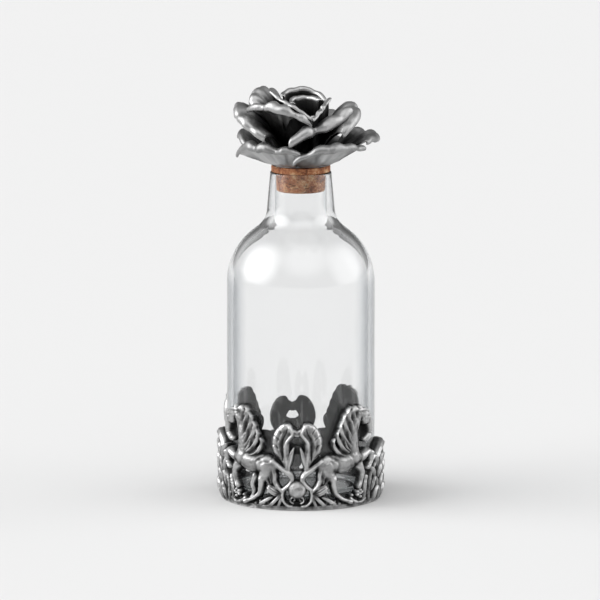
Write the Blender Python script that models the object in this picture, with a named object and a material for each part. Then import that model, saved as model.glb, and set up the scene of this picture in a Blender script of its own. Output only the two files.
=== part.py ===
"""A clear glass bottle in a cast metal collar, closed by a cork that carries a cast rose.

The collar is two pierced half rings with horses back to back. The rose, its dowel and the cork
lift out of the neck together. Lengths are in metres, +Z is up, and the front faces -Y.
"""

import math

import bmesh
import bpy
import numpy as np

# Clearance between pieces that seat on each other.
GAP = 0.0003
# How far a trimming shape runs past what it trims.
OVERRUN = 0.0010

# Glass bottle.
BODY_RADIUS = 0.0250
BOTTLE_HEIGHT = 0.1112
WALL = 0.0021
FLOOR = 0.0042
PUNT_RISE = 0.0014
FOOT_WIDTH = 0.0070
HEEL_ROUND = 0.0024
SHOULDER_CORNER_HEIGHT = 0.0843
SHOULDER_ROUND = 0.0220
NECK_ROOT_RADIUS = 0.0114
NECK_ROOT_HEIGHT = 0.0949
NECK_ROUND = 0.0050
LIP_RADIUS = 0.0103
LIP_ROUND = 0.0006
BORE_RADIUS = 0.0089

# Cork: a plug squeezed into the neck and a head that stands over the lip.
CORK_DEPTH = 0.0066
CORK_TAPER = 0.0003
CORK_HEAD_RADIUS = 0.0100
CORK_HEAD_HEIGHT = 0.0019
CORK_ROUND = 0.0006

# Dowel between cork and rose.
STUD_RADIUS = 0.0015
STUD_IN_CORK = 0.0050
STUD_IN_ROSE = 0.0045
STUD_CHAMFER = 0.0003

# Rose.
ROSE_RADIUS = 0.0245
ROSE_HEIGHT = 0.0234
CALYX_RADIUS = 0.0104
PETAL_THICKNESS = 0.0011
INNER_THICKNESS = 0.0009
PETAL_ROLL = 0.0010
INNER_ROLL = 0.0006
OUTER_TILT = 0.0
MIDDLE_TILT = 19.0
INNER_TILT = 34.0

# Collar.
COLLAR_HEIGHT = 0.0350
COLLAR_DEPTH = 0.0039
COLLAR_CENTRE = -2.7
REAR_CENTRE = 186.8
LEFT_SEAM = -88.0
RIGHT_SEAM = 92.0
HORSE_SPAN = 63.0
LEFT_PALMETTE_SHARE = 1.18
RIGHT_PALMETTE_SHARE = 0.97
RIM_HEIGHT = 0.0015
RIM_DEPTH = 0.0019
PLINTH_HEIGHT = 0.0032
PLINTH_DEPTH = 0.0012

# Facets: steps round the turned pieces and the collar, and the turn between points of a fillet.
GLASS_STEPS = 36
CORK_STEPS = 24
STUD_STEPS = 12
RING_STEPS = 40
FILLET_STEP = 30.0
SHARP_ANGLE = 40.0
MERGE_DISTANCE = 0.000001
QUARTER = 90.0
FULL_TURN = 360.0
# What is left of the triangles once the slivers of a union are thinned out.
COLLAR_KEPT_SHARE = 0.39
ROSE_KEPT_SHARE = 0.66

# How a petal is drawn: its facets, the turn of its rolled lip, how high its foot stands in the
# calyx, how narrow it starts, how squarely its lip ends, how much of the roll its ends have and
# the tightest bend of the roll as a share of the sheet's thickness.
PETAL_RISE_STEPS = 4
PETAL_ROLL_STEPS = 2
PETAL_ACROSS_STEPS = 7
PETAL_ROLL_TURN = 140.0
PETAL_LIFT_SHARE = 0.60
PETAL_START_SHARE = 0.55
PETAL_END_POWER = 2.2
PETAL_END_ROLL_SHARE = 0.5
TIGHTEST_ROLL_SHARE = 0.62
# The calyx: its radius as shares of CALYX_RADIUS at heights that are shares of ROSE_HEIGHT.
CALYX_SHARES = [(1.0, 0.0), (0.95, 0.10), (0.55, 0.36), (0.0, 0.50)]
# The height that the tilted tiers turn about, as a share of ROSE_HEIGHT.
TILT_PIVOT_SHARE = 0.2

# Petals, tier by tier. Azimuths and half angles are in degrees, the azimuth from the front
# towards the right. Radii are shares of ROSE_RADIUS and heights shares of ROSE_HEIGHT, each at
# the petal's left end, middle and right end. The last value is how full its lip's roll is.
OUTER_PETAL_SHARES = [
    (-44, 44, (0.87, 0.77, 0.76), (0.15, 0.36, 0.25), 1.7),
    (29, 37, (0.83, 0.86, 0.95), (0.12, 0.37, 0.31), 1.5),
    (102, 36, (0.96, 1.02, 0.94), (0.39, 0.41, 0.36), 1.2),
    (178, 44, (0.88, 1.00, 0.88), (0.20, 0.32, 0.22), 1.0),
    (-108, 36, (0.82, 0.82, 0.76), (0.42, 0.43, 0.30), 1.2),
]
MIDDLE_PETAL_SHARES = [
    (-80, 40, (0.92, 0.86, 0.73), (0.70, 0.89, 0.72), 1.2),
    (-30, 48, (0.72, 0.58, 0.46), (0.97, 1.17, 0.88), 1.3),
    (34, 47, (0.69, 0.50, 0.66), (0.73, 0.85, 0.95), 1.7),
    (86, 36, (0.70, 0.75, 0.71), (0.72, 0.85, 0.74), 1.3),
    (150, 42, (0.66, 0.74, 0.66), (0.40, 0.50, 0.44), 0.8),
    (-120, 26, (0.76, 0.68, 0.64), (0.80, 0.99, 0.98), 1.1),
    (-165, 34, (0.62, 0.72, 0.66), (0.44, 0.60, 0.56), 1.0),
]
INNER_PETAL_SHARES = [
    (-37, 63, (0.40, 0.25, 0.33), (1.25, 1.26, 1.07), 1.0),
    (68, 43, (0.37, 0.30, 0.41), (1.10, 1.09, 1.03), 1.0),
    (180, 70, (0.34, 0.36, 0.24), (1.00, 1.01, 1.14), 0.8),
    (180, 80, (0.25, 0.20, 0.08), (1.10, 1.00, 1.06), 0.7),
    (-20, 80, (0.07, 0.13, 0.20), (0.94, 0.90, 0.94), 0.7),
]
# A tier's foot as a share of CALYX_RADIUS, and the two handles that shape its cups as shares of a
# petal's reach and height: the outer petals open flat, the middle ones flare, the inner ones close.
OUTER_FOOT_SHARE = 0.80
MIDDLE_FOOT_SHARE = 0.45
INNER_FOOT_SHARE = 0.45
OUTER_CUP_SHARES = ((0.35, 0.15), (0.72, 0.80))
MIDDLE_CUP_SHARES = ((0.25, 0.40), (0.55, 0.92))
INNER_CUP_SHARES = ((0.65, 0.05), (0.98, 0.55))
PETAL_TIERS = [
    (OUTER_PETAL_SHARES, OUTER_FOOT_SHARE, OUTER_CUP_SHARES, PETAL_ROLL, PETAL_THICKNESS, OUTER_TILT),
    (MIDDLE_PETAL_SHARES, MIDDLE_FOOT_SHARE, MIDDLE_CUP_SHARES, PETAL_ROLL, PETAL_THICKNESS, MIDDLE_TILT),
    (INNER_PETAL_SHARES, INNER_FOOT_SHARE, INNER_CUP_SHARES, INNER_ROLL, INNER_THICKNESS, INNER_TILT),
]

# Strokes of the collar's relief. Each point is (u, v, half width, crest). u runs round the ring
# from the middle of a half to its seam, in parts of that quarter; v is the height and the half
# width, in parts of COLLAR_HEIGHT; the crest is a share of COLLAR_DEPTH.
AROUND_PART_SHARE = 1 / 44
UP_PART_SHARE = 1 / 35
HORSE_SHARES = [
    # Barrel from croup to shoulder, neck, head and ear.
    [(10.2, 15.8, 2.5, 0.80), (13.4, 15.6, 3.5, 0.92), (17.2, 15.8, 3.8, 0.96), (20.8, 17.0, 3.5, 0.95)],
    [(21.2, 17.6, 3.4, 0.92), (20.7, 21.2, 2.8, 0.92), (20.9, 25.2, 2.5, 0.93), (21.8, 29.0, 2.4, 0.93),
     (23.6, 31.6, 2.0, 0.92)],
    [(24.2, 32.0, 1.8, 0.88), (27.0, 30.7, 2.5, 0.94), (29.0, 28.6, 1.9, 0.92), (29.8, 26.0, 1.2, 0.86),
     (29.5, 23.9, 1.15, 0.82), (27.6, 22.6, 0.9, 0.66)],
    [(24.0, 33.2, 0.8, 0.86), (24.6, 34.5, 0.42, 0.80)],
    # Haunch, then the hind leg with its hoof.
    [(11.2, 15.2, 2.9, 0.92), (12.9, 12.6, 2.7, 0.95), (13.8, 10.4, 1.5, 0.88)],
    [(13.8, 10.4, 1.3, 0.88), (13.7, 7.6, 1.0, 0.80), (14.3, 5.2, 0.85, 0.76), (16.4, 3.4, 0.85, 0.76),
     (18.6, 2.5, 0.9, 0.76), (20.0, 2.0, 1.1, 0.80)],
    # Raised foreleg, bent at the knee, and the foreleg behind it.
    [(22.4, 16.8, 2.8, 0.90), (25.4, 16.9, 1.9, 0.90), (28.4, 18.2, 1.5, 0.90), (30.4, 17.6, 1.25, 0.88)],
    [(30.4, 17.6, 1.2, 0.88), (30.8, 14.8, 0.85, 0.80), (29.0, 12.6, 0.9, 0.76)],
    [(23.8, 14.6, 1.9, 0.86), (25.6, 11.6, 1.1, 0.80), (25.2, 8.8, 0.8, 0.72), (24.2, 6.7, 0.95, 0.72)],
    # Mane and forelock.
    [(17.2, 18.4, 1.0, 0.88), (14.9, 20.2, 1.1, 0.82), (13.6, 23.2, 0.4, 0.62)],
    [(18.6, 18.8, 1.1, 0.92), (16.6, 21.6, 1.2, 0.85), (15.4, 26.2, 0.4, 0.65)],
    [(19.6, 20.6, 1.1, 0.94), (17.9, 24.0, 1.2, 0.88), (16.9, 29.2, 0.4, 0.66)],
    [(20.2, 23.2, 1.1, 0.95), (19.1, 27.0, 1.2, 0.90), (18.3, 32.4, 0.4, 0.68)],
    [(21.0, 26.2, 1.1, 0.96), (20.4, 30.2, 1.1, 0.92), (19.9, 34.2, 0.4, 0.72)],
    [(23.4, 33.2, 0.8, 0.94), (25.8, 33.2, 0.8, 0.96), (28.2, 32.2, 0.4, 0.92)],
]
TAIL_SHARES = [
    # Tail that falls from the croup, and the locks that meet it under the flank.
    [(11.0, 18.0, 1.3, 0.84), (8.6, 17.0, 1.35, 0.88), (6.0, 15.2, 1.25, 0.86), (3.6, 13.6, 1.2, 0.84),
     (2.1, 12.0, 1.15, 0.80), (1.8, 10.2, 1.0, 0.76), (2.9, 8.6, 0.95, 0.74), (4.9, 7.1, 0.85, 0.72)],
    [(8.6, 14.6, 1.25, 0.80), (8.1, 12.0, 1.15, 0.82), (8.0, 9.8, 1.05, 0.80), (6.9, 7.9, 0.95, 0.78),
     (5.3, 6.4, 0.85, 0.74)],
    [(11.4, 13.0, 0.9, 0.82), (10.9, 10.8, 0.85, 0.80), (10.1, 8.9, 0.5, 0.64)],
    # Plume: leaf, inner lock, two ribs and rim.
    [(3.0, 14.2, 0.8, 0.45), (3.9, 17.8, 1.2, 0.50), (5.5, 21.4, 2.4, 0.56), (5.4, 24.4, 2.6, 0.56),
     (4.2, 26.9, 2.1, 0.56), (3.2, 28.4, 1.1, 0.55)],
    [(3.2, 14.4, 0.7, 0.60), (2.4, 17.4, 0.9, 0.70), (1.7, 20.0, 0.7, 0.68), (1.3, 21.2, 0.4, 0.60)],
    [(3.7, 14.4, 0.5, 0.66), (3.5, 17.1, 0.55, 0.74), (4.0, 19.8, 0.6, 0.80), (3.7, 22.9, 0.6, 0.82),
     (1.7, 25.4, 0.6, 0.80), (2.1, 27.9, 0.6, 0.80), (3.2, 29.0, 0.55, 0.74)],
    [(4.4, 16.8, 0.45, 0.62), (5.8, 19.8, 0.6, 0.74), (6.1, 23.0, 0.7, 0.80), (5.1, 25.9, 0.65, 0.80),
     (4.2, 28.2, 0.5, 0.72)],
    [(6.3, 19.7, 0.55, 0.62), (7.6, 21.5, 0.65, 0.70), (7.6, 23.8, 0.65, 0.72), (6.6, 26.0, 0.65, 0.74),
     (5.3, 27.9, 0.55, 0.70)],
]
SCROLL_SHARES = [
    # Lyre bracket with its curl, the fan leaf, and the leaves that spread along the foot.
    [(4.7, 7.0, 0.6, 0.68), (5.1, 5.0, 0.65, 0.72), (4.7, 3.0, 0.65, 0.70), (3.4, 1.7, 0.6, 0.66)],
    [(1.4, 2.4, 0.40, 0.56), (2.3, 3.1, 0.42, 0.62), (2.1, 4.2, 0.42, 0.64), (1.2, 4.4, 0.40, 0.60)],
    [(5.6, 5.4, 0.7, 0.55), (8.0, 6.4, 1.7, 0.74), (9.7, 7.3, 1.5, 0.70)],
    [(5.4, 5.8, 0.7, 0.62), (7.0, 4.0, 0.85, 0.68), (9.2, 1.9, 0.85, 0.60)],
    [(9.0, 4.2, 0.5, 0.50), (11.2, 3.2, 0.85, 0.60), (13.8, 1.6, 0.8, 0.54)],
    [(20.4, 3.1, 0.55, 0.58), (22.0, 1.9, 0.7, 0.62), (25.0, 1.2, 0.7, 0.62), (27.8, 2.2, 0.6, 0.58)],
    # Leaves that stand behind the forelegs, and the one that the raised foreleg comes out of.
    [(27.0, 1.6, 0.9, 0.56), (27.2, 5.6, 1.15, 0.68), (28.3, 9.6, 0.8, 0.64)],
    [(29.6, 1.6, 0.9, 0.60), (29.4, 6.2, 1.1, 0.72), (31.0, 10.8, 0.8, 0.72)],
    [(29.8, 13.0, 0.8, 0.66), (32.6, 15.8, 1.1, 0.78), (34.8, 14.2, 0.8, 0.72), (33.6, 11.8, 0.5, 0.60)],
]
PALMETTE_SHARES = [
    # Half of the palmette that covers a seam: two rows of leaves under a band, over a thinner leaf.
    [(33.0, 3.0, 3.4, 0.42), (37.0, 8.0, 5.2, 0.46), (40.5, 14.2, 4.8, 0.46), (46.0, 14.6, 4.8, 0.46)],
    [(35.2, 1.0, 1.0, 0.62), (34.6, 4.6, 1.7, 0.84), (35.4, 8.6, 0.6, 0.72)],
    [(38.6, 1.0, 1.0, 0.62), (38.6, 5.0, 1.8, 0.90), (38.2, 9.4, 0.6, 0.74)],
    [(42.4, 1.0, 1.0, 0.62), (42.6, 4.4, 1.9, 0.86), (42.2, 8.4, 0.6, 0.74)],
    [(33.4, 7.6, 0.8, 0.56), (33.8, 11.2, 1.6, 0.72), (36.2, 14.8, 0.6, 0.70)],
    [(36.8, 6.4, 0.8, 0.58), (37.2, 10.6, 1.7, 0.78), (39.6, 14.2, 0.6, 0.72)],
    [(40.6, 6.6, 0.8, 0.58), (40.8, 10.4, 1.7, 0.80), (42.6, 14.0, 0.6, 0.72)],
    [(32.6, 12.0, 0.8, 0.70), (35.4, 15.6, 1.3, 0.82), (38.6, 18.0, 1.3, 0.86), (42.0, 18.8, 1.4, 0.88),
     (46.0, 19.0, 1.4, 0.88)],
]
MIDDLE_SHARES = [
    # The ball under the tails, and the bridge with its knob between the plumes, each drawn once.
    [(-1.8, 7.4, 2.2, 0.66), (0.0, 7.4, 3.1, 0.97), (1.8, 7.4, 2.2, 0.66)],
    [(-3.4, 28.2, 0.95, 0.70), (-1.8, 27.3, 1.1, 0.74), (0.0, 26.2, 1.5, 0.70), (1.8, 27.3, 1.1, 0.74),
     (3.4, 28.2, 0.95, 0.70)],
]
# Beads along the foot: their places round the quarter, then one bead's height, half width and crest.
BEAD_PLACE_SHARES = (6.2, 16.2, 24.6, 31.6)
BEAD_SHARES = (2.6, 0.9, 0.60)
BEAD_END_SHARE = 0.7
# A stroke whose half width reaches this many parts has more points along it and a finer section.
WIDE_STROKE_SHARE = 1.85
WIDE_STEPS = (2, 6)
NARROW_STEPS = (1, 4)
# How far the rounded end of a stroke stands out, as a share of its half width.
STROKE_TIP_SHARE = 0.7
# How far a stroke reaches under the inner face before it is trimmed, as a share of its crest.
UNDERCUT_SHARE = 0.4


def remove_everything():
    """Start from an empty scene."""
    for item in list(bpy.data.objects):
        bpy.data.objects.remove(item, do_unlink=True)


def make_material(name, colour, roughness, metallic, alpha=1.0):
    """A Principled material for one piece."""
    material = bpy.data.materials.new(name)
    material.use_nodes = True
    shader = material.node_tree.nodes["Principled BSDF"]
    shader.inputs["Base Color"].default_value = (*colour, 1.0)
    shader.inputs["Roughness"].default_value = roughness
    shader.inputs["Metallic"].default_value = metallic
    shader.inputs["Alpha"].default_value = alpha
    return material


def place(name, mesh, material=None, parent=None):
    """Put a mesh in the scene as a named object, shaded smooth but for its sharp edges."""
    item = bpy.data.objects.new(name, mesh)
    bpy.context.collection.objects.link(item)
    if material:
        mesh.materials.append(material)
    item.parent = parent
    mesh.shade_smooth()
    mesh.set_sharp_from_angle(angle=math.radians(SHARP_ANGLE))
    return item


def as_cutter(item):
    """Mark an object as a shape that only takes part in Booleans."""
    item.hide_render = True
    item.display_type = "WIRE"
    return item


def combine(item, operation, tool, self_overlap=False):
    """Add a Boolean modifier."""
    modifier = item.modifiers.new(tool.name, "BOOLEAN")
    modifier.operation = operation
    modifier.solver = "EXACT"
    modifier.use_self = self_overlap
    modifier.object = tool


def cut_to_triangles(item):
    """Split the many-sided faces that a union leaves, so that the next cut finds them flat."""
    item.modifiers.new("cut_to_triangles", "TRIANGULATE")


def thin_out(item, share):
    """Drop the slivers that Booleans leave, down to a share of the triangles."""
    modifier = item.modifiers.new("thin_out", "DECIMATE")
    modifier.decimate_type = "COLLAPSE"
    modifier.ratio = share
    modifier.use_collapse_triangulate = True


def filleted(corners, rounds):
    """An outline through corners, each rounded by an arc of its own radius."""
    points = []
    count = len(corners)
    for index, (corner, radius) in enumerate(zip(corners, rounds)):
        here = np.array(corner)
        if radius == 0 or index in (0, count - 1):
            points.append(tuple(here))
            continue
        back = np.array(corners[index - 1]) - here
        ahead = np.array(corners[index + 1]) - here
        back /= np.linalg.norm(back)
        ahead /= np.linalg.norm(ahead)
        half = math.acos(float(np.clip(back @ ahead, -1, 1))) / 2
        middle = (back + ahead) / np.linalg.norm(back + ahead)
        centre = here + middle * radius / math.sin(half)
        start = here + back * radius / math.tan(half) - centre
        end = here + ahead * radius / math.tan(half) - centre
        turn = math.pi - 2 * half
        steps = max(1, math.ceil(math.degrees(turn) / FILLET_STEP))
        for step in range(steps + 1):
            share = step / steps
            arm = (start * math.sin((1 - share) * turn) + end * math.sin(share * turn)) / math.sin(turn)
            points.append(tuple(centre + arm))
    return points


def crossing(start_a, end_a, start_b, end_b):
    """Where two straight lines, each through two points, cross."""
    along_a = np.array(end_a) - np.array(start_a)
    along_b = np.array(end_b) - np.array(start_b)
    offset = np.array(start_b) - np.array(start_a)
    area = along_a[0] * along_b[1] - along_a[1] * along_b[0]
    share = (offset[0] * along_b[1] - offset[1] * along_b[0]) / area
    return tuple(np.array(start_a) + along_a * share)


def moved_in(start, end, distance):
    """A line moved to its left by a distance."""
    along = np.array(end) - np.array(start)
    left = np.array((-along[1], along[0])) / np.linalg.norm(along) * distance
    return tuple(np.array(start) + left), tuple(np.array(end) + left)


def turned(name, outline, steps):
    """A solid turned round the Z axis from an outline of (radius, height) points."""
    work = bmesh.new()
    vertices = [work.verts.new((radius, 0, height)) for radius, height in outline]
    edges = [work.edges.new(pair) for pair in zip(vertices, vertices[1:])]
    bmesh.ops.spin(work, geom=vertices + edges, axis=(0, 0, 1), cent=(0, 0, 0),
                   angle=math.tau, steps=steps, use_merge=True)
    bmesh.ops.remove_doubles(work, verts=work.verts, dist=MERGE_DISTANCE)
    bmesh.ops.recalc_face_normals(work, faces=work.faces)
    mesh = bpy.data.meshes.new(name)
    work.to_mesh(mesh)
    work.free()
    return mesh


def signed_volume(points, faces):
    """Volume inside a closed shape, negative where its faces point inward."""
    total = 0
    for face in faces:
        for b, c in zip(face[1:], face[2:]):
            total += float(np.dot(points[face[0]], np.cross(points[b], points[c]))) / 6
    return total


def joined_mesh(name, shapes):
    """One mesh from several closed (points, faces) shapes, each wound outward."""
    work = bmesh.new()
    for points, faces in shapes:
        inward = signed_volume(points, faces) < 0
        vertices = [work.verts.new(point) for point in points]
        for face in faces:
            loop = [vertices[index] for index in face]
            work.faces.new(loop[::-1] if inward else loop)
    bmesh.ops.triangulate(work, faces=work.faces)
    mesh = bpy.data.meshes.new(name)
    work.to_mesh(mesh)
    work.free()
    return mesh


def bottle_outline():
    """Outer corners from the foot up to the lip, then the inner ones, each wall at its thickness."""
    foot = (BODY_RADIUS, 0)
    shoulder = (BODY_RADIUS, SHOULDER_CORNER_HEIGHT)
    root = (NECK_ROOT_RADIUS, NECK_ROOT_HEIGHT)
    lip = (LIP_RADIUS, BOTTLE_HEIGHT)
    wall_in = moved_in(foot, shoulder, WALL)
    slope_in = moved_in(shoulder, root, WALL)
    bore = ((BORE_RADIUS, BOTTLE_HEIGHT), (BORE_RADIUS, 0))
    shoulder_in = crossing(*wall_in, *slope_in)
    bore_end = crossing(*bore, *slope_in)
    corners = [
        (0, PUNT_RISE), (BODY_RADIUS - FOOT_WIDTH - PUNT_RISE, PUNT_RISE), (BODY_RADIUS - FOOT_WIDTH, 0),
        foot, shoulder, root, lip, (BORE_RADIUS, BOTTLE_HEIGHT), bore_end, shoulder_in,
        (BODY_RADIUS - WALL, FLOOR), (0, FLOOR),
    ]
    rounds = [
        0, 0, 0, HEEL_ROUND, SHOULDER_ROUND, NECK_ROUND, LIP_ROUND, LIP_ROUND,
        NECK_ROUND, SHOULDER_ROUND - WALL, HEEL_ROUND, 0,
    ]
    return filleted(corners, rounds)


def cork_top():
    """Height of the cork's upper face."""
    return BOTTLE_HEIGHT + GAP + CORK_HEAD_HEIGHT


def cork_outline():
    """Plug, head over the lip, and the blind hole for the dowel."""
    plug_radius = BORE_RADIUS - GAP
    bottom = BOTTLE_HEIGHT - CORK_DEPTH
    seat = BOTTLE_HEIGHT + GAP
    hole = STUD_RADIUS + GAP
    corners = [
        (0, bottom), (plug_radius - CORK_TAPER, bottom), (plug_radius, seat), (CORK_HEAD_RADIUS, seat),
        (CORK_HEAD_RADIUS, cork_top()), (hole, cork_top()),
        (hole, cork_top() - STUD_IN_CORK - GAP), (0, cork_top() - STUD_IN_CORK - GAP),
    ]
    rounds = [0, CORK_ROUND, 0, CORK_ROUND, CORK_ROUND, 0, 0, 0]
    return filleted(corners, rounds)


def stud_outline():
    """A plain dowel with chamfered ends."""
    bottom = cork_top() - STUD_IN_CORK
    top = cork_top() + GAP + STUD_IN_ROSE
    return [
        (0, bottom), (STUD_RADIUS - STUD_CHAMFER, bottom), (STUD_RADIUS, bottom + STUD_CHAMFER),
        (STUD_RADIUS, top - STUD_CHAMFER), (STUD_RADIUS - STUD_CHAMFER, top), (0, top),
    ]


def between(left, middle, right, side):
    """A value that is flat over a petal's middle and falls to its end values."""
    end = left if side < 0 else right
    return middle + (end - middle) * abs(side) ** PETAL_END_POWER


def petal_profile(side, row, foot_share, cup_shares, lip_roll, thickness):
    """Radius and height of one petal along a line from its foot to its rolled lip."""
    radii, heights, fullness = row
    foot = np.array((CALYX_RADIUS * foot_share, PETAL_THICKNESS * PETAL_LIFT_SHARE))
    lip = np.array((ROSE_RADIUS * between(*radii, side), ROSE_HEIGHT * between(*heights, side)))
    first, second = (foot + (lip - foot) * np.array(share) for share in cup_shares)
    curve = []
    for step in range(PETAL_RISE_STEPS + 1):
        t = step / PETAL_RISE_STEPS
        curve.append(foot * (1 - t) ** 3 + first * 3 * t * (1 - t) ** 2
                     + second * 3 * t ** 2 * (1 - t) + lip * t ** 3)
    heading = (lip - second) / np.linalg.norm(lip - second)
    outward = np.array((heading[1], -heading[0]))
    roll = lip_roll * fullness * (1 - (1 - PETAL_END_ROLL_SHARE) * abs(side))
    roll = max(roll, thickness * TIGHTEST_ROLL_SHARE)
    for step in range(1, PETAL_ROLL_STEPS + 1):
        turn = math.radians(PETAL_ROLL_TURN) * step / PETAL_ROLL_STEPS
        curve.append(lip + outward * roll * (1 - math.cos(turn)) + heading * roll * math.sin(turn))
    return curve


def petal_sheet(row, foot_share, cup_shares, lip_roll, thickness, tilt):
    """Middle surface of a petal as a grid of points, tilted with its tier towards the front."""
    azimuth, half_angle, *shape = row
    grid = []
    for column in range(PETAL_ACROSS_STEPS + 1):
        side = -1 + 2 * column / PETAL_ACROSS_STEPS
        profile = petal_profile(side, shape, foot_share, cup_shares, lip_roll, thickness)
        line = []
        for index, (radius, height) in enumerate(profile):
            rise = min(1, index / PETAL_RISE_STEPS)
            spread = half_angle * (PETAL_START_SHARE + (1 - PETAL_START_SHARE) * math.sin(rise * math.pi / 2))
            angle = math.radians(azimuth + spread * side)
            line.append((radius * math.sin(angle), -radius * math.cos(angle), height))
        grid.append(line)
    grid = np.array(grid)
    pivot = np.array((0, 0, ROSE_HEIGHT * TILT_PIVOT_SHARE))
    lean = math.radians(tilt)
    turn = np.array(((1, 0, 0), (0, math.cos(lean), -math.sin(lean)), (0, math.sin(lean), math.cos(lean))))
    weight = np.clip((grid[..., 2:] - pivot[2]) / pivot[2], 0, 1)
    return grid * (1 - weight) + ((grid - pivot) @ turn.T + pivot) * weight


def thick_sheet(grid, thickness):
    """A closed shell of one thickness round a grid of points."""
    across = np.gradient(grid, axis=0)
    along = np.gradient(grid, axis=1)
    normal = np.cross(across, along)
    normal /= np.maximum(np.linalg.norm(normal, axis=2, keepdims=True), np.finfo(float).tiny)
    front = grid + normal * thickness / 2
    back = grid - normal * thickness / 2
    columns, rows = grid.shape[:2]
    points = np.concatenate((front.reshape(-1, 3), back.reshape(-1, 3)))
    offset = columns * rows
    faces = []
    for i in range(columns - 1):
        for j in range(rows - 1):
            a, b, c, d = i * rows + j, (i + 1) * rows + j, (i + 1) * rows + j + 1, i * rows + j + 1
            faces.append((a, b, c, d))
            faces.append((offset + d, offset + c, offset + b, offset + a))
    border = [i * rows for i in range(columns)]
    border += [(columns - 1) * rows + j for j in range(1, rows)]
    border += [i * rows + rows - 1 for i in range(columns - 2, -1, -1)]
    border += [j for j in range(rows - 2, 0, -1)]
    for a, b in zip(border, border[1:] + border[:1]):
        faces.append((b, a, offset + a, offset + b))
    return points.tolist(), faces


def rose_mesh():
    """All petals as overlapping closed shells."""
    shells = []
    for rows, foot_share, cup_shares, lip_roll, thickness, tilt in PETAL_TIERS:
        for row in rows:
            sheet = petal_sheet(row, foot_share, cup_shares, lip_roll, thickness, tilt)
            shells.append(thick_sheet(sheet, thickness))
    return joined_mesh("petals", shells)


def calyx_outline():
    """The solid heart of the rose under its petals."""
    return [(0, 0)] + [(CALYX_RADIUS * radius, ROSE_HEIGHT * height) for radius, height in CALYX_SHARES]


def on_ring(angle, lift, height):
    """A point of the collar from its turn in degrees, its lift off the inner face and its height."""
    radius = BODY_RADIUS + GAP + lift
    turn = math.radians(angle)
    return radius * math.sin(turn), -radius * math.cos(turn), height


def smooth_through(points, spans):
    """Points on a Catmull-Rom curve through the given ones."""
    nodes = [np.array(point, dtype=float) for point in points]
    nodes = [2 * nodes[0] - nodes[1]] + nodes + [2 * nodes[-1] - nodes[-2]]
    curve = []
    for index in range(1, len(nodes) - 2):
        a, b, c, d = nodes[index - 1:index + 3]
        for step in range(spans):
            t = step / spans
            curve.append(0.5 * (2 * b + (c - a) * t + (2 * a - 5 * b + 4 * c - d) * t ** 2
                                + (3 * b - a - 3 * c + d) * t ** 3))
    curve.append(nodes[-2])
    return curve


def stroke_path(points, steps, reach, stretch):
    """Turn, height, half width and crest along a stroke; past the horse it is fitted to the seam."""
    path = []
    up = UP_PART_SHARE * COLLAR_HEIGHT
    for u, v, width, crest in smooth_through(points, steps):
        angle = u * AROUND_PART_SHARE * QUARTER
        if angle > HORSE_SPAN:
            angle = HORSE_SPAN + (angle - HORSE_SPAN) / (QUARTER - HORSE_SPAN) * (reach - HORSE_SPAN)
        path.append((angle, v * up * stretch, width * up, crest * COLLAR_DEPTH))
    return path


def stroke_ring(path, index, section, side, centre):
    """Points round a stroke at one of its points: half round outside, a corner each side beneath."""
    ring_radius = BODY_RADIUS + GAP + COLLAR_DEPTH / 2
    angle, height, width, crest = path[index]
    before = path[max(0, index - 1)]
    after = path[min(len(path) - 1, index + 1)]
    along = np.array((math.radians(after[0] - before[0]) * ring_radius, after[1] - before[1]))
    along /= np.linalg.norm(along)
    ring = []
    for step in range(section):
        turn = math.pi * step / (section - 1)
        offset = np.array((-along[1], along[0])) * width * math.cos(turn)
        around = side * (angle + math.degrees(offset[0] / ring_radius)) + centre
        lift = -crest * UNDERCUT_SHARE if step in (0, section - 1) else crest * math.sin(turn)
        ring.append(on_ring(around, lift, height + offset[1]))
    return ring


def stroke_shell(points, side, centre, reach, stretch=1.0):
    """One stroke of the relief: a tapered half round laid on the ring, reaching under its inner face."""
    widest = max(point[2] for point in points)
    steps, section = WIDE_STEPS if widest > WIDE_STROKE_SHARE else NARROW_STEPS
    path = stroke_path(points, steps, reach, stretch)
    rings = [stroke_ring(path, index, section, side, centre) for index in range(len(path))]
    vertices = [point for ring in rings for point in ring]
    faces = []
    for ring in range(len(rings) - 1):
        for step in range(section):
            a, b = ring * section + step, ring * section + (step + 1) % section
            faces.append((a, b, b + section, a + section))
    for ring, neighbour in ((0, 1), (len(rings) - 1, len(rings) - 2)):
        middle = np.array(rings[ring]).mean(axis=0)
        outward = middle - np.array(rings[neighbour]).mean(axis=0)
        outward /= np.linalg.norm(outward)
        pole = len(vertices)
        vertices.append(tuple(middle + outward * path[ring][2] * STROKE_TIP_SHARE))
        for step in range(section):
            pair = (ring * section + step, ring * section + (step + 1) % section)
            faces.append((pole, *(pair if ring else pair[::-1])))
    return vertices, faces


def bead_points(place):
    """The short stroke that makes one bead on the foot."""
    height, width, crest = BEAD_SHARES
    end = (height, width * BEAD_END_SHARE, crest * BEAD_END_SHARE)
    return [(place - width / 2, *end), (place, height, width, crest), (place + width / 2, *end)]


def ring_sector(start, end, inner, outer, bottom, top):
    """A closed block bent round the bottle between two turns."""
    steps = math.ceil((end - start) / (FULL_TURN / RING_STEPS))
    section = ((inner, bottom), (outer, bottom), (outer, top), (inner, top))
    corners = len(section)
    points = []
    faces = []
    for step in range(steps + 1):
        angle = start + (end - start) * step / steps
        points += [on_ring(angle, lift, height) for lift, height in section]
    for first in range(0, steps * corners, corners):
        for corner in range(corners):
            a, b = first + corner, first + (corner + 1) % corners
            faces.append((a, b, b + corners, a + corners))
    last = steps * corners
    faces.append(tuple(range(corners))[::-1])
    faces.append(tuple(range(last, last + corners)))
    return points, faces


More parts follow.
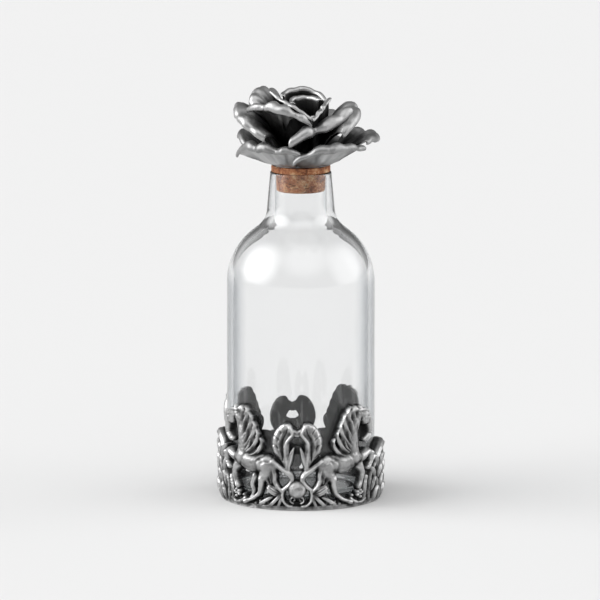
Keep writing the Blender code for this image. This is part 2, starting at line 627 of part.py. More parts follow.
def half_collar(name, centre, start, end, material):
    """Half of the collar: strokes, rim and plinth, kept where a block bent round the glass has room."""
    seam = math.degrees(GAP / 2 / BODY_RADIUS)
    outer = COLLAR_DEPTH + OVERRUN
    envelope = ring_sector(start + seam, end - seam, 0, outer, 0, COLLAR_HEIGHT + OVERRUN)
    shapes = [
        ring_sector(start - seam, end + seam, -OVERRUN / 2, RIM_DEPTH, -OVERRUN / 2, RIM_HEIGHT),
        ring_sector(start - 2 * seam, end + 2 * seam, -OVERRUN, PLINTH_DEPTH, -OVERRUN, PLINTH_HEIGHT),
    ]
    shapes += [stroke_shell(points, 1, centre, end - centre) for points in MIDDLE_SHARES]
    beads = [bead_points(place) for place in BEAD_PLACE_SHARES]
    for side, reach in ((1, end - centre), (-1, centre - start)):
        for points in HORSE_SHARES + TAIL_SHARES + SCROLL_SHARES + beads:
            shapes.append(stroke_shell(points, side, centre, reach))
        tall = RIGHT_PALMETTE_SHARE if reach > QUARTER else LEFT_PALMETTE_SHARE
        for points in PALMETTE_SHARES:
            shapes.append(stroke_shell(points, side, centre, reach, tall))
    relief = as_cutter(place(name + ".relief", joined_mesh(name + ".relief", shapes)))
    collar = place(name, joined_mesh(name, [envelope]), material)
    combine(collar, "INTERSECT", relief, self_overlap=True)
    thin_out(collar, COLLAR_KEPT_SHARE)
    return collar


def build():
    """Make every piece."""
    remove_everything()
    glass = make_material("clear_glass", (0.93, 0.95, 0.95), 0.03, 0.0, 0.35)
    natural_cork = make_material("natural_cork", (0.45, 0.24, 0.12), 0.85, 0.0)
    pewter = make_material("antique_pewter", (0.34, 0.34, 0.33), 0.34, 1.0)
    steel = make_material("dowel_steel", (0.55, 0.55, 0.56), 0.4, 1.0)

    place("glass_bottle", turned("glass_bottle", bottle_outline(), GLASS_STEPS), glass)
    half_collar("collar_front", COLLAR_CENTRE, LEFT_SEAM, RIGHT_SEAM, pewter)
    half_collar("collar_rear", REAR_CENTRE, RIGHT_SEAM, LEFT_SEAM + FULL_TURN, pewter)

    stopper = bpy.data.objects.new("stopper", None)
    bpy.context.collection.objects.link(stopper)
    place("cork", turned("cork", cork_outline(), CORK_STEPS), natural_cork, stopper)
    place("stopper_stud", turned("stopper_stud", stud_outline(), STUD_STEPS), steel, stopper)

    seat = cork_top() + GAP
    rose = place("rose_head", turned("rose_head", calyx_outline(), CORK_STEPS), pewter, stopper)
    petals = as_cutter(place("petals", rose_mesh(), None, stopper))
    hole_radius = STUD_RADIUS + GAP
    hole_top = STUD_IN_ROSE + GAP
    hole_outline = [(0, -OVERRUN), (hole_radius, -OVERRUN), (hole_radius, hole_top), (0, hole_top)]
    hole = as_cutter(place("stud_hole", turned("stud_hole", hole_outline, STUD_STEPS), None, stopper))
    for item in (rose, petals, hole):
        item.location.z = seat
    combine(rose, "UNION", petals, self_overlap=True)
    cut_to_triangles(rose)
    combine(rose, "DIFFERENCE", hole)
    thin_out(rose, ROSE_KEPT_SHARE)


build()
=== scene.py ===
import math
from collections import namedtuple

import bpy
import numpy as np
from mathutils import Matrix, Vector


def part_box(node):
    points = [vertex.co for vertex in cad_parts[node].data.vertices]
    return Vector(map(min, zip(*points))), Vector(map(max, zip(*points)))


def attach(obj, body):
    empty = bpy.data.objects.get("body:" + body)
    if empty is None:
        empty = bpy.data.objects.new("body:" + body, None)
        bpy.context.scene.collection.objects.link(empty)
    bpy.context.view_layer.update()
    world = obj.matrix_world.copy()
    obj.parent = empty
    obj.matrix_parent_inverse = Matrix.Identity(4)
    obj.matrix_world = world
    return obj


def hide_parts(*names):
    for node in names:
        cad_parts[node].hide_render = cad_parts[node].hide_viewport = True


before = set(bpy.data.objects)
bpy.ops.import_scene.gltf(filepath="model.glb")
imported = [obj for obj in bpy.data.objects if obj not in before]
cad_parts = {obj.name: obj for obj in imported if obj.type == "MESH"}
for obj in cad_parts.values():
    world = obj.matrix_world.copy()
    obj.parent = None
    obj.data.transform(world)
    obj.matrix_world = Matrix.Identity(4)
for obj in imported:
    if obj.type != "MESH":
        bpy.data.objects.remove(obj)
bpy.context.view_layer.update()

# Lengths are in metres and angles in degrees. A noise is a count of plane waves, the shortest and the
# longest of them, and a seed, unless the petal gives it. Wear runs from 0, black, to 1, bright; on the
# petals and the rear web it also carries painted shade.
GAP = 0.0003
FULL_TURN = 360

# Glass.
BODY_RADIUS = 0.0250
BOTTLE_HEIGHT = 0.1112
WALL = 0.0021
FLOOR = 0.0042
PUNT_RISE = 0.0014
FOOT_WIDTH = 0.0070
HEEL_ROUND = 0.0024
SHOULDER_CORNER_HEIGHT = 0.0843
SHOULDER_ROUND = 0.0220
NECK_ROOT_RADIUS = 0.0118
NECK_ROOT_HEIGHT = 0.0946
NECK_ROUND = 0.0080
LIP_RADIUS = 0.0103
LIP_ROUND = 0.0006
BORE_RADIUS = 0.0089
FILLET_STEP = 4.0
GLASS_STEPS = 144
GLASS_SPACING = BODY_RADIUS / 8
GLASS_SHARP = 80.0
GLASS_WAVE = 0.00005
GLASS_NOISE = (9, 0.014, 0.060, 4)

# Cork.
CORK_DEPTH = 0.0066
CORK_TAPER = 0.0003
CORK_HEAD_RADIUS = 0.0100
CORK_HEAD_HEIGHT = 0.0019
CORK_ROUND = 0.0006
HEAD_GAP = 0.00006
STUD_RADIUS = 0.0015
STUD_IN_CORK = 0.0050
CORK_STEPS = 180
CORK_SPACING = 0.00022
CORK_FILLET_STEP = 20.0
CORK_SHARP = 60.0
PIT_COUNT = 150
PIT_SEED = 11
PIT_WIDTHS = (0.0003, 0.0011)
PIT_HEIGHTS = (0.00015, 0.0005)
PIT_STRENGTHS = (0.4, 1.0)
PIT_DEPTH = 0.00035
GRAIN_NOISE = (12, 0.0006, 0.0024, 5)
GRAIN_CONTRAST = 0.35
GRAIN_SHARE = 0.18

# Rose.
ROSE_RADIUS = 0.0245
ROSE_HEIGHT = 0.0234
CALYX_RADIUS = 0.0104
CALYX_SHARES = [(1.0, 0.0), (0.95, 0.10), (0.55, 0.36), (0.0, 0.50)]
CALYX_STEPS = 64
CALYX_SPACING = ROSE_HEIGHT / 20
CALYX_WEAR = 0.6
ROSE_SHARP = 70.0
FOOT_LIFT = 0.00066
RISE_STEPS = 26
ROLL_STEPS = 9
ACROSS_STEPS = 56
ROLL_TURN = 165.0
START_SHARE = 0.82
END_POWER = 2.2
TIGHTEST_ROLL_SHARE = 0.62
TILT_PIVOT_SHARE = 0.2
# The lip wanders in and up by shares of its roll, and the roll itself swells by a share.
LIP_WAVES = (1.5, 2.6, 4.1)
LIP_WAVE_STRENGTHS = (0.3, 1.0)
LIP_WAVE_END_POWER = 6
LIP_WAVE_IN = 0.3
LIP_WAVE_UP = 0.36
ROLL_WAVE = 0.18
FOLD_WAVES = (2.2, 3.7, 5.9)
FOLD_DEPTH = 0.00028
FOLD_EASE = 0.6
FOLD_END_POWER = 4
RIB_DEPTH = 0.00006
RIB_WAVES = (8, 0.003, 0.009)
PATCH_WAVES = (7, 0.006, 0.020)
EDGE_POINTS = 3
EDGE_SHARE = 0.22
LIP_START_SHARE = 0.55
LIP_SPAN_SHARE = 0.42
# Painted shade: the cup dark below its lip, the outer face darker towards its foot, the ends below the lip.
CUP_WEAR_AND_SHADE = 0.04
CUP_PATCHES = 0.08
OUTER_LOSS = 0.12
OUTER_PATCHES = 0.55
DEEPEST_SHADE = 0.1
END_SHADE = 0.85
END_SHADE_POWER = 6
# Each petal has its own seed, and each step is added to it.
FIRST_PETAL_SEED = 21
FOLD_SEED_STEP = 50
RIB_SEED_STEP = 9
PATCH_SEED_STEP = 70

# Radii and heights are hundredths of the rose's, at the petal's left end, middle and right end. Fullness is
# the lip's roll over its tier's, and worn is the outer face's wear, set low as painted shade on petals
# whose outer face lies in shade.
HUNDREDTHS = 100
Petal = namedtuple("Petal", "azimuth half_angle radii heights fullness worn")
OUTER_PETALS = [
    (-44, 44, (87, 77, 76), (15, 36, 25), 1.7, 1.0),
    (29, 37, (80, 86, 95), (14, 37, 31), 1.5, 0.90),
    (102, 36, (96, 100, 94), (39, 41, 36), 1.7, 1.0),
    (178, 44, (88, 100, 88), (20, 32, 22), 1.0, 0.82),
    (-108, 36, (82, 82, 76), (42, 43, 30), 1.2, 0.95),
]
MIDDLE_PETALS = [
    (-80, 40, (92, 86, 73), (70, 89, 72), 1.2, 0.80),
    (-30, 48, (72, 58, 46), (97, 117, 88), 1.3, 1.0),
    (34, 47, (69, 50, 66), (73, 85, 95), 1.7, 0.55),
    (86, 36, (70, 75, 71), (72, 85, 74), 1.3, 0.65),
    (150, 42, (66, 74, 66), (40, 50, 44), 0.8, 0.60),
    (-122, 32, (76, 68, 64), (74, 97, 90), 1.2, 0.80),
    (-118, 18, (66, 71, 66), (74, 79, 74), 0.8, 0.60),
    (-165, 38, (62, 72, 66), (44, 60, 56), 1.0, 0.60),
]
INNER_PETALS = [
    (-37, 63, (40, 25, 33), (125, 126, 107), 1.0, 0.1),
    (68, 43, (37, 30, 41), (110, 109, 103), 1.0, 0.1),
    (180, 70, (34, 36, 24), (100, 101, 114), 0.8, 0.1),
    (180, 80, (25, 20, 8), (110, 100, 106), 0.7, 0.1),
    (-20, 80, (7, 13, 20), (94, 90, 94), 0.7, 0.1),
]
# Tilt is towards the front, and the foot is a share of the calyx's radius. Handles shape the cup as shares
# of the petal's reach and height. Roll is the lip's radius and end share what is left of it at the petal's
# ends, sheet is the thickness, polish the wear on top of the lip, and hidden the share of the outer face,
# from its foot up, that darkens as painted shade.
Tier = namedtuple("Tier", "petals tilt foot handles roll end_share sheet polish hidden")
TIERS = [
    Tier(OUTER_PETALS, 0.0, 0.98, ((0.35, 0.15), (0.72, 0.80)), 0.0010, 0.35, 0.0011, 0.66, 0.08),
    Tier(MIDDLE_PETALS, 19.0, 0.45, ((0.25, 0.40), (0.55, 0.92)), 0.0010, 0.80, 0.0011, 0.88, 0.56),
    Tier(INNER_PETALS, 34.0, 0.45, ((0.65, 0.05), (0.98, 0.55)), 0.0006, 0.60, 0.0009, 0.90, 0.60),
]

# Collar.
COLLAR_HEIGHT = 0.0350
COLLAR_DEPTH = 0.0039
COLLAR_CENTRE = -2.7
REAR_CENTRE = 186.8
LEFT_SEAM = -88.0
RIGHT_SEAM = 92.0
QUARTER = 90.0
HORSE_SPAN = 63.0
LEFT_PALMETTE_SHARE = 1.18
RIGHT_PALMETTE_SHARE = 0.97
RIM_HEIGHT = 0.0015
RIM_DEPTH = 0.0019
PLINTH_HEIGHT = 0.0032
PLINTH_DEPTH = 0.0012
RELIEF_EDGE = 0.0007
RELIEF_CELL = 0.00025
CREST_LIMIT_SHARE = 0.985
COLLAR_SHARP = 75.0
CUT_LIMITS = (0.02, 0.98)
LEAST_LEVEL = 1e-7
LEAST_SQUARE = 1e-16
STROKE_SPANS = 7
ROUND_POWER = 2.0
LEAF_POWER = 3.5
HORSE_BLEND = 0.00066
GROOVE_SHARE = 0.30
GROOVE_DEPTH = 0.00042
CAST_WAVE = 0.00008
CAST_WAVE_NOISE = (14, 0.0022, 0.0060, 31)
CAST_GRAIN = 0.00004
CAST_GRAIN_NOISE = (24, 0.0008, 0.0018, 32)
# Level metal, the rise over its surroundings that adds full wear, low parts, crests and the inside.
GROUND_WEAR = 0.32
BLUR_REACH = 0.0011
WEAR_SPAN = 0.0009
LOW_WEAR_SHARE = 0.35
LOW_DEPTH_SHARE = 0.55
CREST_WEAR = 0.74
CREST_START_SHARE = 0.66
CREST_SPAN_SHARE = 0.28
INSIDE_WEAR = 0.12

# The relief is drawn on a grid of 44 parts from the middle to the seam, u, and 35 parts up the height, v.
# In the tables u, v and half widths are in tenths of a part, and crests in hundredths of the depth.
AROUND_PARTS = 44.0
UP_PARTS = 35.0
TENTHS = 10
PALMETTE_START = TENTHS * AROUND_PARTS * HORSE_SPAN / QUARTER
# A stroke is its ribs, then points (u, v, half width, crest). An odd count has a rib on the crest.
LEAVES = [
    # Plume, fan leaf, web between the plumes, and the low leaves behind the chin and the palmette.
    (0, (32, 142, 9, 66), (42, 178, 18, 74), (56, 212, 30, 79), (56, 242, 32, 81), (45, 269, 27, 81),
     (34, 285, 15, 78)),
    (0, (26, 130, 10, 40), (50, 160, 12, 40), (80, 175, 10, 42)),
    (4, (56, 54, 7, 55), (80, 64, 17, 74), (97, 73, 15, 70)),
    (0, (0, 207, 15, 30), (15, 209, 14, 30), (28, 216, 13, 32)),
    (0, (166, 204, 17, 70), (176, 246, 20, 72), (188, 284, 20, 72), (204, 316, 18, 72), (224, 332, 14, 70)),
    (0, (254, 254, 22, 22), (276, 252, 22, 22)),
    (0, (330, 30, 34, 42), (370, 80, 52, 46), (405, 142, 48, 46), (460, 146, 48, 46)),
    (0, (280, 15, 24, 34), (294, 70, 22, 36), (314, 120, 24, 40)),
]
# Thin, low, dark web behind the rear plumes' stems: painted shade seen through the front half's open slot.
REAR_SHADE_WEB = [
    (0, (-16, 174, 22, 26), (16, 174, 22, 26)),
    (0, (-14, 138, 20, 26), (14, 138, 20, 26)),
]
FOLIAGE = [
    # Inner leaf of the plume, its two ribs and its rim, and the knob where the plumes meet.
    (2, (32, 144, 8, 66), (25, 174, 12, 76), (18, 198, 9, 72), (12, 214, 4, 60)),
    (0, (37, 144, 7, 72), (36, 171, 8, 80), (41, 198, 9, 86), (38, 229, 9, 90), (25, 249, 8.5, 90),
     (16, 262, 8.5, 90), (22, 279, 8.5, 90), (33, 289, 7.5, 84)),
    (0, (44, 168, 6, 68), (58, 198, 8.5, 82), (62, 230, 10.5, 88), (52, 259, 10, 88), (43, 281, 7, 80)),
    (0, (63, 197, 7.5, 70), (78, 215, 9.5, 80), (78, 238, 9.5, 82), (69, 260, 9.5, 82), (55, 279, 7.5, 78)),
    (2, (34, 282, 9.5, 70), (18, 273, 11, 74), (3, 263, 14.5, 70)),
    # Tail that falls from the croup round the hole, and the locks that meet it.
    (3, (86, 166, 12, 84), (62, 149, 12, 84), (38, 133, 12, 84), (22, 119, 11.5, 80), (19, 102, 10, 76),
     (29, 86, 9.5, 74), (49, 71, 8.5, 72)),
    (3, (86, 146, 12.5, 80), (81, 120, 11.5, 82), (80, 98, 10.5, 80), (69, 79, 9.5, 78), (53, 64, 8.5, 74)),
    (3, (99, 136, 9, 80), (95, 114, 9.5, 80), (92, 92, 6, 68)),
    (2, (114, 130, 9, 82), (109, 108, 8.5, 80), (101, 89, 5, 64)),
    (2, (126, 114, 8, 82), (118, 98, 6, 72)),
    # Lyre bracket and its curl.
    (0, (47, 70, 6, 68), (51, 50, 6.5, 72), (47, 30, 6.5, 70), (34, 17, 6, 66), (19, 14, 5, 58)),
    (0, (14, 24, 4, 56), (23, 31, 4.2, 62), (21, 42, 4.2, 64), (12, 44, 4, 60), (8, 36, 3.6, 56),
     (14, 33, 3.6, 54)),
    # Leaves that spread along the foot.
    (2, (54, 58, 7, 62), (70, 40, 8.5, 68), (92, 19, 8.5, 60), (106, 9, 6, 48)),
    (2, (53, 50, 6, 58), (59, 32, 7.5, 62), (67, 12, 7, 55)),
    (2, (90, 42, 5, 50), (112, 32, 8.5, 60), (138, 16, 8, 54)),
    (2, (204, 31, 5.5, 58), (220, 19, 7, 62), (250, 12, 7, 62), (278, 22, 6, 58)),
    (3, (270, 16, 9, 56), (272, 56, 11.5, 68), (283, 96, 8, 64)),
    (3, (296, 16, 9, 60), (294, 62, 11, 72), (310, 108, 8, 72)),
    (3, (298, 130, 8, 66), (326, 158, 11, 78), (348, 142, 8, 72), (336, 118, 5, 60)),
    # Palmette at the seam.
    (3, (326, 126, 8, 72), (352, 160, 13, 84), (386, 182, 13, 88), (420, 189, 14, 90), (460, 190, 14, 90)),
    (2, (382, 148, 8, 70), (406, 162, 11, 80), (460, 166, 11, 82)),
]
# Small leaves in rows: the height of each row's foot and the places of its leaves, then one leaf's shape.
PALMETTE_ROWS = [
    (116, (346, 378, 412, 446)),
    (78, (324, 358, 392, 426)),
    (42, (310, 342, 376, 410, 444)),
    (6, (326, 358, 392, 428)),
]
SMALL_LEAF = [
    (-3, 0, 8, 58), (1, 16, 13, 80), (5, 31, 13.5, 88), (12, 45, 9, 90), (22, 52, 3, 72),
]
HORSE = [
    # Barrel, neck, head, cheek and ears.
    (0, (84, 152, 22, 82), (108, 155, 31, 90), (140, 156, 35, 95), (172, 158, 38, 97), (208, 170, 35, 96)),
    (0, (212, 176, 34, 92), (207, 212, 28, 92), (209, 252, 25, 93), (218, 290, 24, 93), (236, 316, 20, 92)),
    (0, (242, 320, 18, 88), (270, 307, 25, 94), (290, 286, 19, 92), (298, 260, 12, 86), (295, 242, 13, 84),
     (284, 228, 13, 78), (274, 225, 9, 64)),
    (0, (260, 299, 18, 95), (268, 293, 18, 96)),
    (0, (240, 332, 8, 86), (246, 345, 4.2, 80)),
    # Haunch, hind leg and hoof.
    (0, (96, 148, 28, 92), (112, 126, 28, 97), (128, 104, 17, 90)),
    (0, (128, 104, 15, 90), (132, 76, 11, 82), (141, 52, 9, 78), (164, 34, 8.5, 76), (186, 25, 9, 76),
     (200, 20, 11, 80)),
    # Raised foreleg, bent at the knee, and the one behind it.
    (0, (224, 168, 28, 90), (254, 169, 19, 90), (284, 182, 15, 90), (304, 176, 12.5, 88)),
    (0, (304, 176, 12, 88), (308, 148, 8.5, 80), (290, 126, 9, 76)),
    (0, (238, 146, 19, 86), (256, 116, 11, 80), (252, 88, 8, 72), (242, 67, 9.5, 72)),
]
LEFT_LEG = [
    (0, (156, 112, 14, 78), (169, 82, 10, 70), (163, 56, 8, 64), (176, 34, 7, 60)),
]
MANE = [
    (3, (172, 182, 10, 88), (154, 190, 11.5, 86), (138, 208, 9.5, 78), (132, 228, 5.5, 68),
     (138, 242, 2, 60)),
    (3, (184, 194, 11, 92), (168, 208, 12.5, 88), (153, 230, 10, 80), (147, 253, 5.5, 70),
     (154, 270, 2, 62)),
    (3, (192, 214, 11, 94), (178, 232, 12.5, 90), (164, 258, 10, 82), (160, 282, 5.5, 72),
     (168, 299, 2, 64)),
    (3, (198, 239, 11, 95), (188, 260, 12.5, 91), (176, 286, 10, 84), (174, 310, 5.5, 74),
     (183, 326, 2, 66)),
    (3, (206, 266, 11, 96), (198, 290, 12, 93), (190, 314, 9.5, 86), (192, 335, 5, 76),
     (202, 346, 2.5, 70)),
    (3, (216, 292, 11, 97), (210, 314, 11, 94), (210, 334, 7.5, 86), (219, 347, 3, 78)),
    (0, (189, 198, 4.5, 97), (176, 214, 5, 96), (170, 234, 3.5, 88)),
    (0, (198, 224, 4.5, 98), (188, 244, 5, 97), (184, 268, 3.5, 90)),
    (0, (206, 252, 4.5, 98), (199, 276, 5, 97), (198, 300, 3.5, 90)),
    (2, (234, 332, 8, 94), (258, 332, 8, 96), (282, 322, 4, 92)),
    (2, (230, 322, 7, 96), (246, 310, 8, 98), (250, 294, 4, 96)),
]
BALL = [(-1, 72, 34, 98), (1, 72, 34, 98)]
# Round leaf tips and beads: (u, v, radius, crest).
BEADS = [
    (75, 205, 9.5, 66), (82, 224, 8, 66), (78, 247, 8, 66), (67, 268, 8, 66), (51, 284, 7.5, 64),
    (34, 291, 7, 64), (106, 59, 7, 60), (102, 82, 7, 60), (82, 49, 6, 56), (245, 43, 5.5, 74),
    (256, 46, 7.5, 64), (249, 54, 7, 62), (235, 50, 7.5, 64), (236, 38, 7, 62), (248, 32, 7.5, 64),
    (122, 20, 7, 52), (156, 17, 7.5, 52), (212, 40, 6, 50), (286, 36, 7, 56), (263, 24, 6, 54),
    (334, 34, 8, 60), (332, 94, 7, 62), (366, 40, 8, 60), (374, 138, 7, 62), (360, 90, 6, 62),
    (426, 30, 8, 62), (430, 168, 7, 62), (396, 124, 6, 60), (326, 134, 6, 60), (176, 12, 6, 48),
    (136, 9, 6, 44), (79, 10, 7, 46), (40, 8, 6, 46),
]
BEAD_STEP = 1
# Low blades that stand side by side along the foot.
BLADE_COUNT = 24
BLADE_START = 86
BLADE_SPACING = 15.5
BLADE_LEAN = 7
BLADE_FOOT = 4
BLADE_HEIGHT = 30
BLADE_WIDTH = 6.2
BLADE_CREST = 46
BLADE_SWAY = 0.2
BLADE_TURN = 2.4
BLADE_TIP_SHARE = 0.6
# Cuts (negative) and swellings (positive) on plume and horse: hundredths of the depth, then points
# (u, v, half width).
HORSE_MARKS = [
    (-9, (89, 194, 4.5), (74, 192, 4), (62, 182, 3)),
    (-9, (93, 226, 4.5), (76, 225, 4), (64, 214, 3)),
    (-9, (88, 256, 4.5), (72, 252, 4), (60, 242, 3)),
    (-9, (72, 284, 4.5), (60, 276, 4), (52, 264, 3)),
    (-9, (30, 302, 5), (32, 284, 4.5), (36, 266, 3)),
    (-10, (49, 172, 3.5), (50, 204, 4.5), (49, 238, 4.5), (39, 262, 3.5)),
    (-7, (118, 186, 6), (144, 160, 8), (144, 130, 7), (152, 112, 5)),
    (-7, (182, 202, 6), (196, 176, 8), (216, 148, 7), (238, 136, 5)),
    (-8, (243, 196, 4.5), (244, 174, 5.5), (234, 154, 4.5)),
    (-7, (218, 286, 4.5), (224, 250, 5.5), (218, 216, 4.5)),
    (-16, (243, 310, 3.5), (246, 289, 4.5), (264, 276, 4), (280, 280, 3)),
    (-16, (298, 242, 2.8), (286, 249, 2.6)),
    (-14, (189, 34, 2.6), (186, 22, 2.6)),
    (-14, (297, 136, 2.6), (291, 139, 2.6)),
    (10, (108, 156, 13), (118, 142, 13)),
    (7, (210, 176, 14), (218, 166, 13)),
    (6, (160, 166, 11), (176, 168, 11)),
    (8, (304, 180, 8), (306, 174, 8)),
    (8, (143, 72, 7), (144, 68, 7)),
    (10, (279, 302, 4.2), (281, 301, 4.2)),
    (-10, (272, 308, 3), (284, 309, 3), (289, 302, 2.6)),
    (-16, (297, 252, 3), (298, 250, 3)),
]

# Looks. A texture is its scale, detail and roughness; a ramp is (position, grey or colour) stops.
BLOTCH_TEXTURE = (220.0, 5.0, 0.6)
FINE_DETAIL = (3.0, 0.6)
SPECK_SHARE = 0.18
FINE_GRAIN_SHARE = 0.5
GRAIN_HEIGHT = 0.00008
# Pewter: scale and strength of the grain, blotching, then greys and roughness from black to rubbed.
COLLAR_PEWTER = (
    1500.0, 0.5, 0.8, [(0.0, 0.020), (0.24, 0.052), (0.45, 0.15), (0.66, 0.31), (1.0, 0.53)],
    [(0.0, 0.58), (0.5, 0.42), (1.0, 0.33)],
)
PETAL_PEWTER = (
    700.0, 0.2, 0.5, [(0.0, 0.010), (0.22, 0.040), (0.45, 0.15), (0.7, 0.31), (1.0, 0.47)],
    [(0.0, 0.58), (0.5, 0.44), (1.0, 0.42)],
)
CORK_TEXTURE = (330.0, 6.0, 0.65)
FLECK_TEXTURE = (1300.0, 4.0, 0.7)
CORK_BROAD_SHARE = 0.6
CORK_TONES = [
    (0.38, (0.07, 0.024, 0.010)), (0.46, (0.30, 0.105, 0.045)), (0.53, (0.44, 0.18, 0.078)),
    (0.59, (0.58, 0.36, 0.19)), (0.66, (0.74, 0.56, 0.36)),
]
PIT_COLOUR = (0.055, 0.018, 0.010, 1)
PIT_DARKNESS = 0.9
CORK_ROUGHNESS = 0.85
CORK_BUMP = (0.6, 0.00015)
STEEL_LINES = 1400.0
STEEL_DISTORTION = 1.5
STEEL_TONES = [(0.0, 0.42), (1.0, 0.60)]
STEEL_ROUGHNESS = 0.35
# Glass seen edge on darkens by these stops as painted shade.
GLASS_EDGE_SHADES = [
    (0.0, 1.0), (0.40, 1.0), (0.55, (0.68, 0.70, 0.72)), (0.72, (0.30, 0.32, 0.34)), (1.0, 0.18),
]
GLASS_IOR = 1.47
GLASS_COLOUR = (0.78, 0.80, 0.81, 1)
GLASS_DENSITY = 70.0
SHADOW_TINT = (0.76, 0.77, 0.77, 1)

# Studio. Soft lights: direction, the angles from it where each starts and ends to fade, and its level.
SOFT_LIGHTS = [
    ((-1.0, -0.16, 0.50), 10, 40, 4.1),
    ((1.0, -0.05, 0.40), 10, 40, 1.9),
    ((0.10, -0.70, 1.0), 12, 44, 1.3),
    ((-0.80, 0.60, 0.26), 10, 38, 0.60),
    ((0.85, 0.55, 0.26), 10, 38, 0.50),
]
SKY_TONES = [(0.0, 0.10), (0.25, 0.13), (0.55, 0.22), (1.0, 0.34)]
FLOOR_REACH = 6.0
FLOOR_GREY = 0.74
FLOOR_DROP = 0.0001
VIEW_ANGLE = 4.64
VIEW_ELEVATION = 9.8
VIEW_DISTANCE = 2.5
VIEW_TARGET = (-0.00027, 0, 0.0671)
VIEW_END = 20


def smooth_noise(points, count, shortest, longest, seed):
    """A soft wandering value about 0, from plane waves through space."""
    rng = np.random.default_rng(seed)
    total = np.zeros(points.shape[:-1])
    for _ in range(count):
        direction = rng.normal(size=3)
        direction /= np.linalg.norm(direction)
        length = rng.uniform(shortest, longest)
        total += np.sin(points @ direction * math.tau / length + rng.uniform(0, math.tau))
    return total / math.sqrt(count)


def around(radius, turn, height):
    """Points round the axis at a radius, a turn from the front and a height."""
    return np.stack(np.broadcast_arrays(radius * np.sin(turn), -radius * np.cos(turn), height), -1)


def add_object(name, data):
    """A new object in the scene."""
    item = bpy.data.objects.new(name, data)
    bpy.context.scene.collection.objects.link(item)
    return item


def put(name, points, faces, material, body, slot, replaced, sharp, **values):
    """A closed mesh as a piece of the object, with values at its points for the material."""
    mesh = bpy.data.meshes.new(name)
    mesh.from_pydata(np.asarray(points).tolist(), [], faces)
    mesh.materials.append(material)
    for key, array in values.items():
        layer = mesh.attributes.new(key, "FLOAT", "POINT")
        layer.data.foreach_set("value", np.asarray(array, dtype=np.float32))
    mesh.shade_smooth()
    mesh.set_sharp_from_angle(angle=math.radians(sharp))
    mesh.update()
    item = add_object(name, mesh)
    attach(item, body)
    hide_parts(replaced)


# Turned shapes.

def filleted(corners, rounds, step_angle):
    """An outline through corners, each rounded by an arc of its own radius."""
    points = []
    for index, (corner, radius) in enumerate(zip(corners, rounds)):
        here = np.array(corner)
        if radius == 0 or index in (0, len(corners) - 1):
            points.append(here)
            continue
        back = np.array(corners[index - 1]) - here
        ahead = np.array(corners[index + 1]) - here
        back /= np.linalg.norm(back)
        ahead /= np.linalg.norm(ahead)
        half = math.acos(float(np.clip(back @ ahead, -1, 1))) / 2
        centre = here + (back + ahead) / np.linalg.norm(back + ahead) * radius / math.sin(half)
        start = here + back * radius / math.tan(half) - centre
        end = here + ahead * radius / math.tan(half) - centre
        turn = math.pi - 2 * half
        steps = max(1, math.ceil(math.degrees(turn) / step_angle))
        for step in range(steps + 1):
            share = step / steps
            arm = start * math.sin((1 - share) * turn) + end * math.sin(share * turn)
            points.append(centre + arm / math.sin(turn))
    return np.array(points)


def crossing(line_a, line_b):
    """Where two straight lines, each through two points, cross."""
    (start_a, end_a), (start_b, end_b) = np.array(line_a), np.array(line_b)
    shares = np.linalg.solve(np.stack((end_a - start_a, start_b - end_b), 1), start_b - start_a)
    return tuple(start_a + (end_a - start_a) * shares[0])


def moved_in(start, end, distance):
    """A line moved to its left by a distance."""
    along = np.array(end) - np.array(start)
    left = np.array((-along[1], along[0])) / np.linalg.norm(along) * distance
    return tuple(np.array(start) + left), tuple(np.array(end) + left)


def spaced(outline, spacing):
    """The outline with points no further apart than a spacing, its corners kept."""
    points = [outline[0]]
    for start, end in zip(outline, outline[1:]):
        steps = max(1, math.ceil(np.linalg.norm(end - start) / spacing))
        points += [start + (end - start) * step / steps for step in range(1, steps + 1)]
    return np.array(points)


def turned(outline, steps):
    """Points and faces of a solid turned round Z from an outline that starts and ends on the axis."""
    rings = outline[1:-1]
    turns = np.arange(steps) * math.tau / steps
    ends = [(0, 0, outline[0][1]), (0, 0, outline[-1][1])]
    points = np.concatenate([around(radius, turns, height) for radius, height in rings] + [ends])
    first, last = len(points) - 2, len(points) - 1
    faces = []
    for ring in range(len(rings) - 1):
        for step in range(steps):
            a, b = ring * steps + step, ring * steps + (step + 1) % steps
            faces.append((a, b, b + steps, a + steps))
    top = (len(rings) - 1) * steps
    for step in range(steps):
        following = (step + 1) % steps
        faces.append((first, following, step))
        faces.append((last, top + step, top + following))
    return points, faces


def bottle_outline():
    """Outer outline from the foot up to the lip, then the inner one."""
    foot = (BODY_RADIUS, 0)
    shoulder = (BODY_RADIUS, SHOULDER_CORNER_HEIGHT)
    root = (NECK_ROOT_RADIUS, NECK_ROOT_HEIGHT)
    lip = (LIP_RADIUS, BOTTLE_HEIGHT)
    bore_top = (BORE_RADIUS, BOTTLE_HEIGHT)
    wall_in = moved_in(foot, shoulder, WALL)
    slope_in = moved_in(shoulder, root, WALL)
    bore = (bore_top, (BORE_RADIUS, 0))
    corners = [
        (0, PUNT_RISE), (BODY_RADIUS - FOOT_WIDTH - PUNT_RISE, PUNT_RISE), (BODY_RADIUS - FOOT_WIDTH, 0),
        foot, shoulder, root, lip, bore_top, crossing(bore, slope_in), crossing(wall_in, slope_in),
        (BODY_RADIUS - WALL, FLOOR), (0, FLOOR),
    ]
    rounds = [
        0, PUNT_RISE, PUNT_RISE / 2, HEEL_ROUND, SHOULDER_ROUND, NECK_ROUND, LIP_ROUND, LIP_ROUND,
        NECK_ROUND, SHOULDER_ROUND - WALL, HEEL_ROUND, 0,
    ]
    return filleted(corners, rounds, FILLET_STEP)


